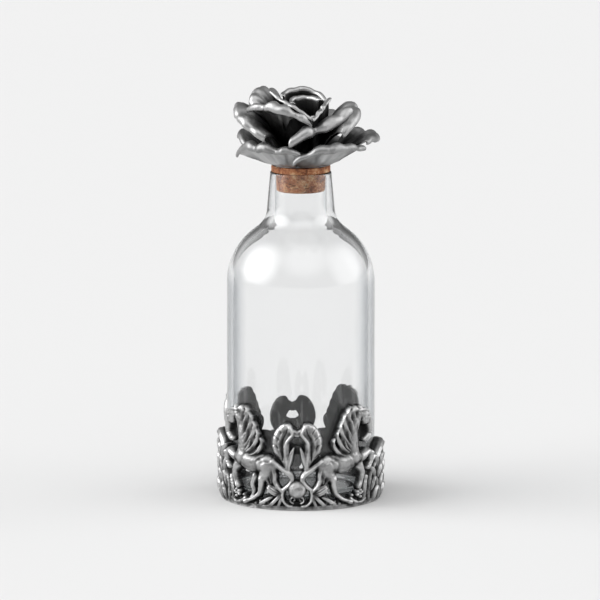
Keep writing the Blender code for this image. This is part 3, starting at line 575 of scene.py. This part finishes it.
def make_glass(material):
    """The bottle, with the faint waviness of blown glass in its walls."""
    points, faces = turned(spaced(bottle_outline(), GLASS_SPACING), GLASS_STEPS)
    radius = np.hypot(points[:, 0], points[:, 1])
    wave = GLASS_WAVE * smooth_noise(points, *GLASS_NOISE)
    shrink = 1 - np.clip(np.abs(wave), 0, 2 * GLASS_WAVE) / np.maximum(radius, WALL)
    free = (points[:, 2] > HEEL_ROUND) & (points[:, 2] < BOTTLE_HEIGHT - CORK_DEPTH - HEEL_ROUND)
    points[free, :2] *= shrink[free, None]
    put("glass_shape", points, faces, material, "bottle", "clear_glass", "glass_bottle", GLASS_SHARP)


def make_cork(material):
    """The cork, its pits sunk into the sides and the head."""
    top = BOTTLE_HEIGHT + GAP + CORK_HEAD_HEIGHT
    seat = BOTTLE_HEIGHT + HEAD_GAP
    foot = BOTTLE_HEIGHT - CORK_DEPTH
    plug = BORE_RADIUS - GAP
    hole = STUD_RADIUS + GAP
    floor = top - STUD_IN_CORK - GAP
    corners = [
        (0, foot), (plug - CORK_TAPER, foot), (plug, seat), (CORK_HEAD_RADIUS, seat),
        (CORK_HEAD_RADIUS, top), (hole, top), (hole, floor), (0, floor),
    ]
    rounds = [0, CORK_ROUND, 0, CORK_ROUND / 2, CORK_ROUND / 2, 0, 0, 0]
    outline = filleted(corners, rounds, CORK_FILLET_STEP)
    points, faces = turned(spaced(outline, CORK_SPACING), CORK_STEPS)
    rng = np.random.default_rng(PIT_SEED)
    pits = np.zeros(len(points))
    for _ in range(PIT_COUNT):
        turn = rng.uniform(0, math.tau)
        height = rng.uniform(foot, top)
        radius = CORK_HEAD_RADIUS if height > seat else plug
        offset = points - around(radius, turn, height)
        wide, tall = rng.uniform(*PIT_WIDTHS), rng.uniform(*PIT_HEIGHTS)
        reach = (np.hypot(offset[:, 0], offset[:, 1]) / wide) ** 2 + (offset[:, 2] / tall) ** 2
        pits = np.maximum(pits, np.clip(1 - reach, 0, 1) ** 0.5 * rng.uniform(*PIT_STRENGTHS))
    grain = np.clip(0.5 + GRAIN_CONTRAST * smooth_noise(points, *GRAIN_NOISE), 0, 1)
    radius = np.hypot(points[:, 0], points[:, 1])
    side = radius > hole + CORK_ROUND
    depth = PIT_DEPTH * (pits + GRAIN_SHARE * grain)
    points[side, :2] *= (1 - depth[side] / radius[side])[:, None]
    put("cork_shape", points, faces, material, "stopper", "natural_cork", "cork", CORK_SHARP, pit=pits)


# Rose.

def between(ends, side):
    """A value that is flat over a petal's middle and falls to its end values."""
    left, middle, right = np.array(ends) / HUNDREDTHS
    end = np.where(side < 0, left, right)
    return middle + (end - middle) * np.abs(side) ** END_POWER


def petal_surface(petal, tier, seed):
    """Middle surface of a petal as a grid of points, how near each is to the lip, and places across."""
    rng = np.random.default_rng(seed)
    side = np.linspace(-1, 1, ACROSS_STEPS + 1)
    wave = sum(rng.uniform(*LIP_WAVE_STRENGTHS) * np.sin(side * math.pi * k + rng.uniform(0, math.tau))
               for k in LIP_WAVES)
    wave *= 1 - side ** LIP_WAVE_END_POWER
    foot = np.array((CALYX_RADIUS * tier.foot, FOOT_LIFT))
    across = ROSE_RADIUS * between(petal.radii, side)
    up = ROSE_HEIGHT * between(petal.heights, side)
    wander = np.stack((-LIP_WAVE_IN * np.abs(wave), LIP_WAVE_UP * wave), 1)
    lip = np.stack((across, up), 1) + wander * tier.roll * petal.fullness
    handles = [foot + (lip - foot) * np.array(share) for share in tier.handles]
    t = (np.arange(RISE_STEPS + 1) / RISE_STEPS)[None, :, None]
    curve = (foot * (1 - t) ** 3 + handles[0][:, None] * 3 * t * (1 - t) ** 2
             + handles[1][:, None] * 3 * t ** 2 * (1 - t) + lip[:, None] * t ** 3)
    heading = lip - handles[1]
    heading /= np.linalg.norm(heading, axis=1, keepdims=True)
    outward = np.stack((heading[:, 1], -heading[:, 0]), 1)
    roll = tier.roll * petal.fullness * (1 - (1 - tier.end_share) * np.abs(side)) * (1 + ROLL_WAVE * wave)
    roll = np.maximum(roll, TIGHTEST_ROLL_SHARE * tier.sheet)[:, None]
    turn = (np.radians(ROLL_TURN) * np.arange(1, ROLL_STEPS + 1) / ROLL_STEPS)[None, :, None]
    arc = ((lip + outward * roll)[:, None] - (outward * roll)[:, None] * np.cos(turn)
           + (heading * roll)[:, None] * np.sin(turn))
    profile = np.concatenate((curve, arc), axis=1)
    index = np.arange(profile.shape[1])
    rise = np.minimum(1, index / RISE_STEPS)
    spread = petal.half_angle * (START_SHARE + (1 - START_SHARE) * np.sin(rise * math.pi / 2))
    angle = np.radians(petal.azimuth + spread[None, :] * side[:, None])
    grid = around(profile[..., 0], angle, profile[..., 1])
    pivot = np.array((0, 0, ROSE_HEIGHT * TILT_PIVOT_SHARE))
    lean = math.radians(tier.tilt)
    cosine, sine = math.cos(lean), math.sin(lean)
    lean_turn = np.array(((1, 0, 0), (0, cosine, -sine), (0, sine, cosine)))
    weight = np.clip((grid[..., 2:] - pivot[2]) / pivot[2], 0, 1)
    grid = grid * (1 - weight) + ((grid - pivot) @ lean_turn.T + pivot) * weight
    near_lip = np.clip((index - LIP_START_SHARE * RISE_STEPS) / (LIP_SPAN_SHARE * RISE_STEPS), 0, 1)
    return grid, np.broadcast_to(near_lip[None, :], grid.shape[:2]), side


def petal_shell(petal, tier, seed):
    """Points, faces, wear and painted shade of a petal: folds and fine ribs in its faces, edges rounded."""
    grid, near_lip, side = petal_surface(petal, tier, seed)
    normal = np.cross(np.gradient(grid, axis=0), np.gradient(grid, axis=1))
    normal /= np.maximum(np.linalg.norm(normal, axis=2, keepdims=True), np.finfo(float).tiny)
    rng = np.random.default_rng(seed + FOLD_SEED_STEP)
    rise = np.minimum(1, np.arange(grid.shape[1]) / RISE_STEPS)[None, :]
    folds = sum(np.sin(side * math.pi * k + rng.uniform(0, math.tau)) / k for k in FOLD_WAVES)[:, None]
    ends = np.abs(side[:, None])
    folds = folds * FOLD_DEPTH * rise ** 2 * (1 - ends ** FOLD_END_POWER) * (1 - FOLD_EASE * near_lip)
    folds = folds + RIB_DEPTH * smooth_noise(grid, *RIB_WAVES, seed + RIB_SEED_STEP)
    grid = grid + normal * folds[..., None]
    columns, rows = grid.shape[:2]
    to_side = np.minimum(np.arange(columns), np.arange(columns)[::-1])[:, None]
    to_lip = (rows - 1 - np.arange(rows))[None, :]
    edge = np.clip(np.minimum(to_side, to_lip) / EDGE_POINTS, 0, 1)
    thickness = tier.sheet * (EDGE_SHARE + (1 - EDGE_SHARE) * np.sqrt(1 - (1 - edge) ** 2))
    outer = grid + normal * thickness[..., None] / 2
    inner = grid - normal * thickness[..., None] / 2
    number = np.arange(columns * rows).reshape(columns, rows)
    a = number[:-1, :-1].ravel()
    quads = np.stack((a, a + rows, a + rows + 1, a + 1), 1)
    faces = quads.tolist() + (quads[:, ::-1] + number.size).tolist()
    border = np.concatenate((number[:, 0], number[-1, 1:], number[-2::-1, -1], number[0, -2:0:-1]))
    across = np.roll(border, -1)
    faces += np.stack((across, border, border + number.size, across + number.size), 1).tolist()
    patches = 0.5 * smooth_noise(grid, *PATCH_WAVES, seed + PATCH_SEED_STEP)
    # Painted shade: the ends and the cup dark below the lip, and the outer face dark from its foot up.
    shade = 1 - END_SHADE * ends ** END_SHADE_POWER * (1 - near_lip)
    cup = np.clip((CUP_WEAR_AND_SHADE + tier.polish * near_lip ** 2 + CUP_PATCHES * patches) * shade, 0, 1)
    rise_shade = np.clip(2 * rise / tier.hidden - 1, DEEPEST_SHADE, 1)
    back = np.clip((petal.worn - OUTER_LOSS + OUTER_PATCHES * patches) * rise_shade * shade, 0, 1)
    points = np.concatenate((outer.reshape(-1, 3), inner.reshape(-1, 3)))
    return points, faces, np.concatenate((back.ravel(), cup.ravel()))


def fitted(points, node, anchor):
    """Points drawn in towards an anchor, axis by axis, where they would pass a CAD node's corners."""
    low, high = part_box(node)
    for axis in range(3):
        for limit, reach in ((high[axis], points[:, axis].max()), (low[axis], points[:, axis].min())):
            span = limit - anchor[axis]
            beyond = (reach - anchor[axis]) / span if span else 1
            if beyond > 1:
                offset = points[:, axis] - anchor[axis]
                outside = np.sign(offset) == np.sign(span)
                points[outside, axis] = anchor[axis] + offset[outside] / beyond
    return points


def make_rose(material):
    """The rose: petals as closed shells round a solid calyx."""
    outline = np.array([(0, 0)] + [(CALYX_RADIUS * r, ROSE_HEIGHT * h) for r, h in CALYX_SHARES])
    calyx, calyx_faces = turned(spaced(outline, CALYX_SPACING), CALYX_STEPS)
    petals = [(Petal(*row), tier) for tier in TIERS for row in tier.petals]
    shells = [petal_shell(petal, tier, seed) for seed, (petal, tier) in enumerate(petals, FIRST_PETAL_SEED)]
    shells.append((calyx, calyx_faces, np.full(len(calyx), CALYX_WEAR)))
    faces = []
    count = 0
    for shell, shell_faces, _ in shells:
        faces += [tuple(index + count for index in face) for face in shell_faces]
        count += len(shell)
    seat = BOTTLE_HEIGHT + GAP + CORK_HEAD_HEIGHT + GAP
    points = np.concatenate([shell for shell, _, _ in shells]) + np.array((0, 0, seat))
    points = fitted(points, "rose_head", (0, 0, seat))
    wear = np.concatenate([shell_wear for _, _, shell_wear in shells])
    put("rose_shape", points, faces, material, "stopper", "antique_pewter", "rose_head",
        ROSE_SHARP, wear=wear)


# Collar.

def smooth_through(points):
    """Points on a Catmull-Rom curve through a stroke's points, in whole parts and depths."""
    nodes = [np.array(point) / (TENTHS, TENTHS, TENTHS, HUNDREDTHS) for point in points]
    nodes = [2 * nodes[0] - nodes[1]] + nodes + [2 * nodes[-1] - nodes[-2]]
    curve = []
    for a, b, c, d in zip(nodes, nodes[1:], nodes[2:], nodes[3:]):
        for step in range(STROKE_SPANS):
            t = step / STROKE_SPANS
            curve.append(0.5 * (2 * b + (c - a) * t + (2 * a - 5 * b + 4 * c - d) * t ** 2
                                + (3 * b - a - 3 * c + d) * t ** 3))
    curve.append(nodes[-2])
    return np.array(curve)


class Relief:
    """A height field laid on half of the ring: along is the arc from the half's middle."""

    def __init__(self, start, end, centre):
        self.centre = centre
        self.ring = BODY_RADIUS + GAP + COLLAR_DEPTH / 2
        seam = GAP / 2
        self.low = math.radians(start - centre) * self.ring + seam
        self.high = math.radians(end - centre) * self.ring - seam
        self.along = np.arange(self.low - 2 * RELIEF_CELL, self.high + 3 * RELIEF_CELL, RELIEF_CELL)
        self.up = np.arange(-2 * RELIEF_CELL, COLLAR_HEIGHT + 3 * RELIEF_CELL, RELIEF_CELL)
        shape = (len(self.along), len(self.up))
        self.inside = np.full(shape, -1.0)
        self.height = np.full(shape, RELIEF_EDGE)

    def place(self, points, side, reach, stretch):
        """A stroke's points with their arc, height and half width in metres."""
        share = HORSE_SPAN / QUARTER
        u = points[:, 0] / AROUND_PARTS
        beyond = HORSE_SPAN + (u - share) / (1 - share) * (reach - HORSE_SPAN)
        angle = np.where(u > share, beyond, u * QUARTER)
        placed = points.copy()
        placed[:, 0] = side * np.radians(angle) * self.ring
        placed[:, 1] = points[:, 1] / UP_PARTS * COLLAR_HEIGHT * stretch
        placed[:, 2] = points[:, 2] / UP_PARTS * COLLAR_HEIGHT
        return placed

    def nearest(self, path):
        """For the grid round a path: share of the half width away from it, side of it, and its values."""
        margin = path[:, 2].max() + 2 * RELIEF_CELL
        parts = []
        for axis, ticks in enumerate((self.along, self.up)):
            first = np.searchsorted(ticks, path[:, axis].min() - margin)
            parts.append(slice(first, np.searchsorted(ticks, path[:, axis].max() + margin) + 1))
        a, z = np.meshgrid(self.along[parts[0]], self.up[parts[1]], indexing="ij")
        best = np.full(a.shape, np.inf)
        across = np.zeros(a.shape)
        value = np.zeros(a.shape + (path.shape[1],))
        for start, end in zip(path, path[1:]):
            step = end[:2] - start[:2]
            length = max(float(step @ step), LEAST_SQUARE)
            t = np.clip(((a - start[0]) * step[0] + (z - start[1]) * step[1]) / length, 0, 1)
            here = start + (end - start) * t[..., None]
            offset_a, offset_z = a - here[..., 0], z - here[..., 1]
            width = np.maximum(here[..., 2], RELIEF_CELL / 2)
            share = np.hypot(offset_a, offset_z) / width
            nearer = share < best
            best[nearer] = share[nearer]
            sign = (step[0] * offset_z - step[1] * offset_a) / math.sqrt(length)
            across[nearer] = (sign / width)[nearer]
            value[nearer] = here[nearer]
        return tuple(parts), best, across, value

    def add(self, ribs, points, side, reach, stretch=1.0, blend=0.0, power=ROUND_POWER):
        """Lay one stroke on the field: round in section, or flatter with a higher power."""
        where, best, across, value = self.nearest(self.place(smooth_through(points), side, reach, stretch))
        width = value[..., 2]
        crest = value[..., 3] * COLLAR_DEPTH
        self.inside[where] = np.maximum(self.inside[where], width * (1 - best))
        dome = np.clip(1 - np.minimum(best, 1) ** power, 0, 1) ** (1 / power)
        lift = RELIEF_EDGE + (crest - RELIEF_EDGE) * dome
        if ribs:
            phase = 1 if ribs % 2 else -1
            groove = np.minimum(GROOVE_SHARE * width, GROOVE_DEPTH)
            lift = lift + groove * (phase * 0.5 * np.cos(math.pi * ribs * across) - 0.5) * dome
        lift = np.where(best < 1, lift, 0)
        old = self.height[where]
        top = np.maximum(old, lift)
        if blend:
            near = np.clip(1 - np.abs(old - lift) / blend, 0, 1)
            top = np.where((best < 1) & (old > RELIEF_EDGE), top + near ** 2 * blend / 4, top)
        self.height[where] = top

    def mark(self, amount, points, side, reach):
        """Press a cut into the field, or raise a swelling on it."""
        path = smooth_through([(*point, 0) for point in points])
        where, best, _, _ = self.nearest(self.place(path, side, reach, 1.0))
        self.height[where] += amount / HUNDREDTHS * COLLAR_DEPTH * np.clip(1 - best ** 2, 0, 1) ** 2

    def fill_foot(self, height, depth):
        """Fill the field along the foot, up to a height and to a depth at least."""
        low = self.up < height
        self.inside[:, low] = np.maximum(self.inside[:, low], height - self.up[low])
        self.height[:, low] = np.maximum(self.height[:, low], depth)

    def blurred(self):
        """The height field smoothed, bare glass counted as height zero."""
        field = np.where(self.inside > 0, self.height, 0)
        count = int(3 * BLUR_REACH / RELIEF_CELL)
        kernel = np.exp(-0.5 * (np.arange(-count, count + 1) * RELIEF_CELL / BLUR_REACH) ** 2)
        kernel /= kernel.sum()
        for axis in (0, 1):
            field = np.apply_along_axis(lambda line: np.convolve(line, kernel, mode="same"), axis, field)
        return field

    def cast(self, a, z):
        """The field's lift with the casting's unevenness, and its wear."""
        spot = np.stack((a, z, self.height), 2)
        waves = CAST_WAVE * smooth_noise(spot, *CAST_WAVE_NOISE)
        grain = CAST_GRAIN * smooth_noise(spot, *CAST_GRAIN_NOISE)
        lift = np.clip(self.height + (waves + grain), RELIEF_EDGE, COLLAR_DEPTH * CREST_LIMIT_SHARE)
        wear = np.clip(GROUND_WEAR + (lift - self.blurred()) / WEAR_SPAN, 0, 1)
        high = np.clip(lift / (LOW_DEPTH_SHARE * COLLAR_DEPTH), 0, 1)
        wear *= LOW_WEAR_SHARE + (1 - LOW_WEAR_SHARE) * high
        rubbed = np.clip((lift / COLLAR_DEPTH - CREST_START_SHARE) / CREST_SPAN_SHARE, 0, 1)
        return lift, np.maximum(wear, CREST_WEAR * rubbed)

    def outline_cuts(self, level, table):
        """Points where grid lines cross the outline, with the number of each line's point."""
        columns, rows = level.shape
        spots, cuts = [], {}
        count = int((level > 0).sum())
        for direction, (di, dj) in enumerate(((1, 0), (0, 1))):
            here = level[:columns - di, :rows - dj]
            there = level[di:, dj:]
            i, j = np.nonzero((here > 0) != (there > 0))
            share = np.clip(here[i, j] / (here[i, j] - there[i, j]), *CUT_LIMITS)[:, None]
            spots.append(table[i, j] * (1 - share) + table[i + di, j + dj] * share)
            for index, key in enumerate(zip(i.tolist(), j.tolist())):
                cuts[(direction, *key)] = count + index
            count += len(i)
        return spots, cuts

    def solid(self):
        """Points (arc, height, lift, wear) of the field where it is inside, faces and the outline."""
        a, z = np.meshgrid(self.along, self.up, indexing="ij")
        level = np.minimum(self.inside, np.minimum(z, np.minimum(a - self.low, self.high - a)))
        level = np.where(np.abs(level) < LEAST_LEVEL, -LEAST_LEVEL, level)
        table = np.stack((a, z, *self.cast(a, z)), 2)
        inside = level > 0
        number = -np.ones(level.shape, dtype=int)
        number[inside] = np.arange(inside.sum())
        spots, cuts = self.outline_cuts(level, table)
        spots = np.concatenate([table[inside]] + spots)
        quarters = (inside[:-1, :-1], inside[1:, :-1], inside[1:, 1:], inside[:-1, 1:])
        full = np.logical_and.reduce(quarters)
        some = np.logical_or.reduce(quarters)
        i, j = np.nonzero(full)
        quads = (number[i, j], number[i + 1, j], number[i + 1, j + 1], number[i, j + 1])
        faces = np.stack(quads, 1).tolist()
        walls = []
        for i, j in zip(*np.nonzero(some & ~full)):
            corners = ((i, j), (i + 1, j), (i + 1, j + 1), (i, j + 1))
            edges = ((0, i, j), (1, i + 1, j), (0, i, j + 1), (1, i, j))
            loop = []
            for corner, edge in zip(corners, edges):
                if inside[corner]:
                    loop.append((int(number[corner]), False))
                if edge in cuts:
                    loop.append((cuts[edge], True))
            faces.append([index for index, _ in loop])
            for (here, here_cut), (there, there_cut) in zip(loop, loop[1:] + loop[:1]):
                if here_cut and there_cut:
                    walls.append((here, there))
        return spots, faces, walls

    def mesh(self):
        """Outer face, inner face against the glass and the walls between, bent round the ring."""
        spots, faces, walls = self.solid()
        count = len(spots)
        turn = spots[:, 0] / self.ring + math.radians(self.centre)
        outer = BODY_RADIUS + GAP + spots[:, 2]
        inner = np.full(count, BODY_RADIUS + GAP)
        points = np.concatenate([around(radius, turn, spots[:, 1]) for radius in (outer, inner)])
        faces = faces + [[index + count for index in face[::-1]] for face in faces]
        faces += [[there, here, here + count, there + count] for here, there in walls]
        return points, faces, np.concatenate((spots[:, 3], np.full(count, INSIDE_WEAR)))


def add_foot(relief, side, reach, tall):
    """Blades and small leaves low on the collar, and its beads."""
    for index in range(BLADE_COUNT):
        u = BLADE_START + BLADE_SPACING * index
        tip = BLADE_HEIGHT * (1 - BLADE_SWAY + BLADE_SWAY * math.sin(BLADE_TURN * index))
        blade = [(u, BLADE_FOOT, BLADE_WIDTH, BLADE_CREST),
                 (u + BLADE_LEAN, tip, BLADE_WIDTH * BLADE_TIP_SHARE, BLADE_CREST)]
        relief.add(2, blade, side, reach)
    for foot, places in PALMETTE_ROWS:
        for index, place in enumerate(places):
            lean = -1 if (index + foot // TENTHS) % 2 else 1
            leaf = [(place + lean * u, foot + v, width, crest) for u, v, width, crest in SMALL_LEAF]
            relief.add(3, leaf, side, reach, tall)
    for u, v, radius, crest in BEADS:
        bead = [(u - BEAD_STEP, v, radius, crest), (u + BEAD_STEP, v, radius, crest)]
        relief.add(0, bead, side, reach, tall if u > PALMETTE_START else 1.0)


def make_collar(name, centre, start, end, shade_web, material):
    """Half of the collar, finer than its CAD solid: horses, mane, plumes, scrolls, leaves and beads."""
    relief = Relief(start, end, centre)
    sides = ((1, end - centre), (-1, centre - start))
    relief.fill_foot(PLINTH_HEIGHT, PLINTH_DEPTH)
    # The rear half's low dark web is painted shade, seen through the front half's open slot.
    for ribs, *points in shade_web:
        relief.add(ribs, points, 1, QUARTER, power=LEAF_POWER)
    for side, reach in sides:
        tall = RIGHT_PALMETTE_SHARE if reach > QUARTER else LEFT_PALMETTE_SHARE
        add_foot(relief, side, reach, tall)
        for strokes, power in ((LEAVES, LEAF_POWER), (FOLIAGE, ROUND_POWER)):
            for ribs, *points in strokes:
                stretch = tall if points[0][0] > PALMETTE_START else 1.0
                relief.add(ribs, points, side, reach, stretch, power=power)
    relief.add(0, BALL, 1, QUARTER)
    for side, reach in sides:
        legs = LEFT_LEG if side < 0 else []
        for ribs, *points in legs + HORSE:
            relief.add(ribs, points, side, reach, blend=HORSE_BLEND)
        for amount, *points in HORSE_MARKS:
            relief.mark(amount, points, side, reach)
        for ribs, *points in MANE:
            relief.add(ribs, points, side, reach)
    relief.fill_foot(RIM_HEIGHT, RIM_DEPTH)
    points, faces, wear = relief.mesh()
    points = fitted(points, name, (0, 0, 0))
    put(name + "_shape", points, faces, material, "bottle", "antique_pewter", name, COLLAR_SHARP, wear=wear)


# Materials.

class Graph:
    """The nodes of a material or world, with short ways to add to them."""

    def __init__(self, owner):
        self.owner = owner
        owner.use_nodes = True
        self.nodes = owner.node_tree.nodes
        self.links = owner.node_tree.links

    def join(self, value, socket):
        """Give a socket a plain value, or link an output to it."""
        if isinstance(value, bpy.types.NodeSocket):
            self.links.new(value, socket)
        else:
            socket.default_value = value

    def fill(self, node, values):
        """Join values to a node's named sockets."""
        for name, value in values.items():
            self.join(value, node.inputs[name])
        return node

    def add(self, kind, values):
        """A new node with values for its sockets."""
        return self.fill(self.nodes.new("ShaderNode" + kind), values)

    def maths(self, operation, first, second=0.0, clamp=False):
        """A maths node's result."""
        node = self.nodes.new("ShaderNodeMath")
        node.operation = operation
        node.use_clamp = clamp
        self.join(first, node.inputs[0])
        self.join(second, node.inputs[1])
        return node.outputs[0]

    def ramp(self, place, stops):
        """The colour at a place on a ramp of (position, grey or colour) stops."""
        node = self.add("ValToRGB", {"Fac": place})
        elements = node.color_ramp.elements
        while len(elements) < len(stops):
            elements.new(0.5)
        for element, (position, value) in zip(elements, stops):
            element.position = position
            colour = value if isinstance(value, tuple) else (value, value, value)
            element.color = (*colour, 1)
        return node.outputs["Color"]

    def coordinates(self, name):
        """Texture coordinates by their name."""
        return self.nodes.new("ShaderNodeTexCoord").outputs[name]

    def noise(self, scale, detail, roughness):
        """A noise texture in object space."""
        vector = self.coordinates("Object")
        values = {"Vector": vector, "Scale": scale, "Detail": detail, "Roughness": roughness}
        return self.add("TexNoise", values).outputs["Fac"]

    def point_value(self, name):
        """A value kept at the mesh's points."""
        node = self.nodes.new("ShaderNodeAttribute")
        node.attribute_name = name
        return node.outputs["Fac"]

    def bump(self, strength, distance, height):
        """A bumped normal."""
        values = {"Strength": strength, "Distance": distance, "Height": height}
        return self.add("Bump", values).outputs["Normal"]

    def surface(self, values):
        """Fill the Principled shader's sockets."""
        return self.fill(self.nodes["Principled BSDF"], values)


def pewter_material(name, grain_scale, grain_strength, blotching, tones, roughs):
    """Cast pewter: bright where rubbed, blackened where not and where shade is painted; fine cast grain."""
    graph = Graph(bpy.data.materials.new(name))
    blotch = graph.noise(*BLOTCH_TEXTURE)
    fine = graph.noise(grain_scale, *FINE_DETAIL)
    patches = graph.maths("MULTIPLY", graph.maths("SUBTRACT", blotch, 0.5), blotching)
    specks = graph.maths("MULTIPLY", graph.maths("SUBTRACT", fine, 0.5), SPECK_SHARE)
    # The points' wear also carries painted shade on the petals and on the rear web.
    rubbed = graph.maths("ADD", graph.maths("ADD", graph.point_value("wear"), patches), specks, True)
    grain = graph.maths("ADD", blotch, graph.maths("MULTIPLY", fine, FINE_GRAIN_SHARE))
    graph.surface({
        "Base Color": graph.ramp(rubbed, tones),
        "Roughness": graph.ramp(rubbed, roughs),
        "Metallic": 1.0,
        "Normal": graph.bump(grain_strength, GRAIN_HEIGHT, grain),
    })
    return graph.owner


def cork_material():
    """Natural cork: reddish tan with paler flecks and dark pits."""
    graph = Graph(bpy.data.materials.new("cork_bark"))
    broad = graph.maths("MULTIPLY", graph.noise(*CORK_TEXTURE), CORK_BROAD_SHARE)
    flecks = graph.maths("MULTIPLY", graph.noise(*FLECK_TEXTURE), 1 - CORK_BROAD_SHARE)
    mixed = graph.maths("ADD", broad, flecks)
    dark = graph.nodes.new("ShaderNodeMix")
    dark.data_type = "RGBA"
    graph.fill(dark, {
        "Factor": graph.maths("MULTIPLY", graph.point_value("pit"), PIT_DARKNESS, True),
        "A": graph.ramp(mixed, CORK_TONES),
        "B": PIT_COLOUR,
    })
    graph.surface({
        "Base Color": dark.outputs["Result"],
        "Roughness": CORK_ROUGHNESS,
        "Normal": graph.bump(*CORK_BUMP, mixed),
    })
    return graph.owner


def steel_material():
    """Turned steel rod."""
    graph = Graph(bpy.data.materials.new("steel_rod"))
    vector = graph.coordinates("Object")
    lines = graph.add("TexWave", {"Vector": vector, "Scale": STEEL_LINES, "Distortion": STEEL_DISTORTION})
    lines.bands_direction = "Z"
    tone = graph.ramp(lines.outputs["Fac"], STEEL_TONES)
    graph.surface({"Base Color": tone, "Metallic": 1.0, "Roughness": STEEL_ROUGHNESS})
    return graph.owner


def glass_material():
    """Clear glass, painted shade where seen edge on, greyer where thick; lamps shine through it."""
    graph = Graph(bpy.data.materials.new("bottle_glass"))
    facing = graph.add("LayerWeight", {"Blend": 0.5}).outputs["Facing"]
    normal = graph.nodes.new("ShaderNodeNewGeometry").outputs["Normal"]
    upward = graph.add("SeparateXYZ", {"Vector": normal}).outputs["Z"]
    level = graph.maths("SUBTRACT", 1.0, graph.maths("ABSOLUTE", upward), True)
    # Painted shade where the glass is seen edge on and its wall stands upright.
    edge = graph.maths("MULTIPLY", facing, graph.maths("MULTIPLY", level, level))
    glass = graph.surface({
        "Base Color": graph.ramp(edge, GLASS_EDGE_SHADES),
        "Roughness": 0.0,
        "IOR": GLASS_IOR,
        "Transmission Weight": 1.0,
    })
    clear = graph.add("BsdfTransparent", {"Color": SHADOW_TINT})
    shadow = graph.nodes.new("ShaderNodeLightPath").outputs["Is Shadow Ray"]
    mix = graph.add("MixShader", {"Fac": shadow})
    graph.join(glass.outputs["BSDF"], mix.inputs[1])
    graph.join(clear.outputs["BSDF"], mix.inputs[2])
    absorb = graph.add("VolumeAbsorption", {"Color": GLASS_COLOUR, "Density": GLASS_DENSITY})
    graph.fill(graph.nodes["Material Output"], {
        "Surface": mix.outputs["Shader"],
        "Volume": absorb.outputs["Volume"],
    })
    return graph.owner


# Studio.

def make_floor():
    """A wide pale floor, just under the foot."""
    mesh = bpy.data.meshes.new("studio_floor")
    corners = [(FLOOR_REACH * x, FLOOR_REACH * y, 0) for x, y in ((-1, -1), (1, -1), (1, 1), (-1, 1))]
    mesh.from_pydata(corners, [], [(0, 1, 2, 3)])
    item = add_object("studio_floor", mesh)
    graph = Graph(bpy.data.materials.new("floor_paper"))
    graph.surface({"Base Color": (*[FLOOR_GREY] * 3, 1), "Roughness": 1.0, "Specular IOR Level": 0.0})
    mesh.materials.append(graph.owner)
    item.location.z = -FLOOR_DROP


def make_world():
    """A pale studio with soft lights left, right, above the front and low at both sides of the back."""
    world = bpy.data.worlds.new("studio")
    graph = Graph(world)
    direction = graph.coordinates("Generated")
    total = graph.ramp(graph.add("SeparateXYZ", {"Vector": direction}).outputs["Z"], SKY_TONES)
    for toward, inner, outer, level in SOFT_LIGHTS:
        dot = graph.nodes.new("ShaderNodeVectorMath")
        dot.operation = "DOT_PRODUCT"
        graph.join(direction, dot.inputs[0])
        graph.join(Vector(toward).normalized(), dot.inputs[1])
        fade = graph.add("MapRange", {
            "Value": dot.outputs["Value"],
            "From Min": math.cos(math.radians(outer)),
            "From Max": math.cos(math.radians(inner)),
            "To Max": level,
        })
        fade.interpolation_type = "SMOOTHSTEP"
        total = graph.maths("ADD", total, fade.outputs["Result"])
    graph.fill(graph.nodes["Background"], {"Color": total, "Strength": 1.0})
    bpy.context.scene.world = world


def make_camera():
    """The photograph's point of view."""
    data = bpy.data.cameras.new("view")
    data.angle = math.radians(VIEW_ANGLE)
    data.clip_end = VIEW_END
    item = add_object("view", data)
    elevation = math.radians(VIEW_ELEVATION)
    away = Vector((0, -math.cos(elevation), math.sin(elevation)))
    item.location = Vector(VIEW_TARGET) + VIEW_DISTANCE * away
    item.rotation_euler = (math.pi / 2 - elevation, 0, 0)
    bpy.context.scene.camera = item


def main():
    """Build everything."""
    make_glass(glass_material())
    make_cork(cork_material())
    make_rose(pewter_material("petal_pewter", *PETAL_PEWTER))
    pewter = pewter_material("pewter", *COLLAR_PEWTER)
    make_collar("collar_front", COLLAR_CENTRE, LEFT_SEAM, RIGHT_SEAM, [], pewter)
    make_collar("collar_rear", REAR_CENTRE, RIGHT_SEAM, LEFT_SEAM + FULL_TURN, REAR_SHADE_WEB, pewter)
    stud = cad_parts["stopper_stud"]
    steel = steel_material()
    for holder in stud.material_slots:
        holder.material = steel
    make_floor()
    make_world()
    make_camera()
    bpy.context.scene.view_settings.view_transform = "Standard"


main()
